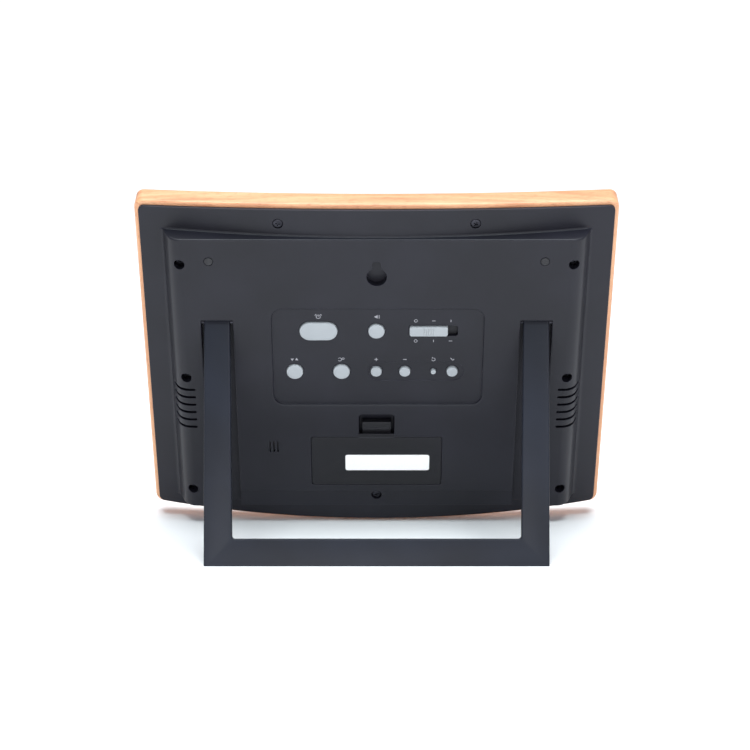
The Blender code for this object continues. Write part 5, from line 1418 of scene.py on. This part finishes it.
BOARD_GREEN = circuit_board()
SLEEVE = cell_sleeve()
EPOXY = printed("moulded_epoxy", "#26262A", "#1B1B1E", 0.6, 0.9)
INNER = {
    "main_board": (BOARD_GREEN, "circuit_board"), "control_board": (BOARD_GREEN, "circuit_board"),
    "controller_chip": (EPOXY, "chip"), "thermistor": (EPOXY, "thermistor"),
    "quartz_crystal": (NICKEL, "crystal"), "piezo_sounder": (EPOXY, "sounder"),
    "ribbon_cable": (striped("ribbon_conductors", "#C9C2AE", "#8E8878", 1.25, 0.45), "ribbon"),
    "elastomer_connector": (striped("layered_elastomer", "#2A2A2C", "#6C6C70", 0.6, 0.7), "elastomer"),
    "lcd_panel": (LCD_GLASS, "lcd"), "display_tray": (TRAY_ABS, "tray"),
    "slide_switch_body": (NICKEL, "switch"),
    "battery_cell_1": (SLEEVE, "cell"), "battery_cell_2": (SLEEVE, "cell"),
}
for node in frame["nodes"]:
    if node.startswith(("battery_spring", "battery_contact")):
        INNER[node] = (NICKEL, "contact")
    if node.endswith("_tact_switch"):
        INNER[node] = (NICKEL, "switch")
for node, (material, slot) in INNER.items():
    thing = frame["nodes"][node]
    thing.data.materials.clear()
    thing.data.materials.append(material)
print("inner pieces finished:", len(INNER))

# %% [markdown]
# ## Floor, light and camera
# A pale matt floor, a dim surround, a wide sun straight above, and soft lamps: the light of a product
# table. The sun whitens the floor except where the leaning clock shades it, and the black back
# mirrors that floor, so it darkens gently downwards. The main lamp brightens the top of the wood, and
# a low lamp beside the camera fills the label. The camera looks at the back from a little above.

# %% Stage
def pale_floor():
    material, tree, shader, place = new_material("pale_paper_floor", Roughness=0.85)
    tint = ramp(tree, noise(tree, place, 300, 2.0), ((0.3, "#FBFBFB"), (0.7, "#FDFDFD")))
    feed(tree, shader, {"Base Color": tint})
    return material


FLOOR_REACH = 30.0
SURROUND_TINT = (0.92, 0.94, 1.06, 1)
SURROUND_STRENGTH = 0.36
floor_mesh = bpy.data.meshes.new("floor")
corners = [(-1, -1), (1, -1), (1, 1), (-1, 1)]
floor_mesh.from_pydata([(x * FLOOR_REACH, y * FLOOR_REACH, 0) for x, y in corners], [], [(0, 1, 2, 3)])
floor = bpy.data.objects.new("floor", floor_mesh)
bpy.context.scene.collection.objects.link(floor)
floor_mesh.materials.append(pale_floor())

scene = bpy.context.scene
scene.view_settings.view_transform = "Standard"
scene.world = bpy.data.worlds.new("white_surround")
scene.world.use_nodes = True
surround = scene.world.node_tree.nodes["Background"]
surround.inputs["Color"].default_value = SURROUND_TINT
surround.inputs["Strength"].default_value = SURROUND_STRENGTH


def lamp(name, place, target, size, power, tint=(1, 1, 1)):
    data = bpy.data.lights.new(name, "AREA")
    data.shape = "RECTANGLE"
    data.size, data.size_y = size
    data.energy = power
    data.color = tint
    thing = bpy.data.objects.new(name, data)
    thing.location = place
    thing.rotation_euler = (Vector(target) - Vector(place)).to_track_quat("-Z", "Y").to_euler()
    scene.collection.objects.link(thing)


def sun(name, strength, spread_degrees, tint):
    """A wide sun that shines straight down."""
    data = bpy.data.lights.new(name, "SUN")
    data.energy = strength
    data.angle = math.radians(spread_degrees)
    data.color = tint
    scene.collection.objects.link(bpy.data.objects.new(name, data))


sun("overhead_sun", 2.75, 50, (0.97, 0.98, 1.0))
lamp("main_lamp", (0.0, 0.30, 0.80), (0, 0, 0.14), (0.7, 0.3), 5.0, (0.85, 0.97, 1.0))
lamp("side_lamp", (-0.7, 1.1, 0.6), (0, 0, 0.1), (0.5, 0.5), 3.0)
lamp("label_lamp", (0.1, 0.80, 0.14), (0, 0, 0.05), (0.5, 0.16), 1.5)

# %% Camera
LOOK_DOWN = math.radians(13.5)
CAMERA_REACH = 1.023
CAMERA_SIDE = 0.00086
LENS = 92.1
camera_data = bpy.data.cameras.new("camera")
camera_data.sensor_width = 36
camera_data.lens = LENS
camera = bpy.data.objects.new("camera", camera_data)
back = Vector((0, math.cos(LOOK_DOWN), math.sin(LOOK_DOWN)))
camera.location = ORIGIN + back * CAMERA_REACH + Vector((CAMERA_SIDE, 0, 0))
camera.rotation_euler = (-back).to_track_quat("-Z", "Y").to_euler()
scene.collection.objects.link(camera)
scene.camera = camera
print("camera at", [round(v, 3) for v in camera.location])
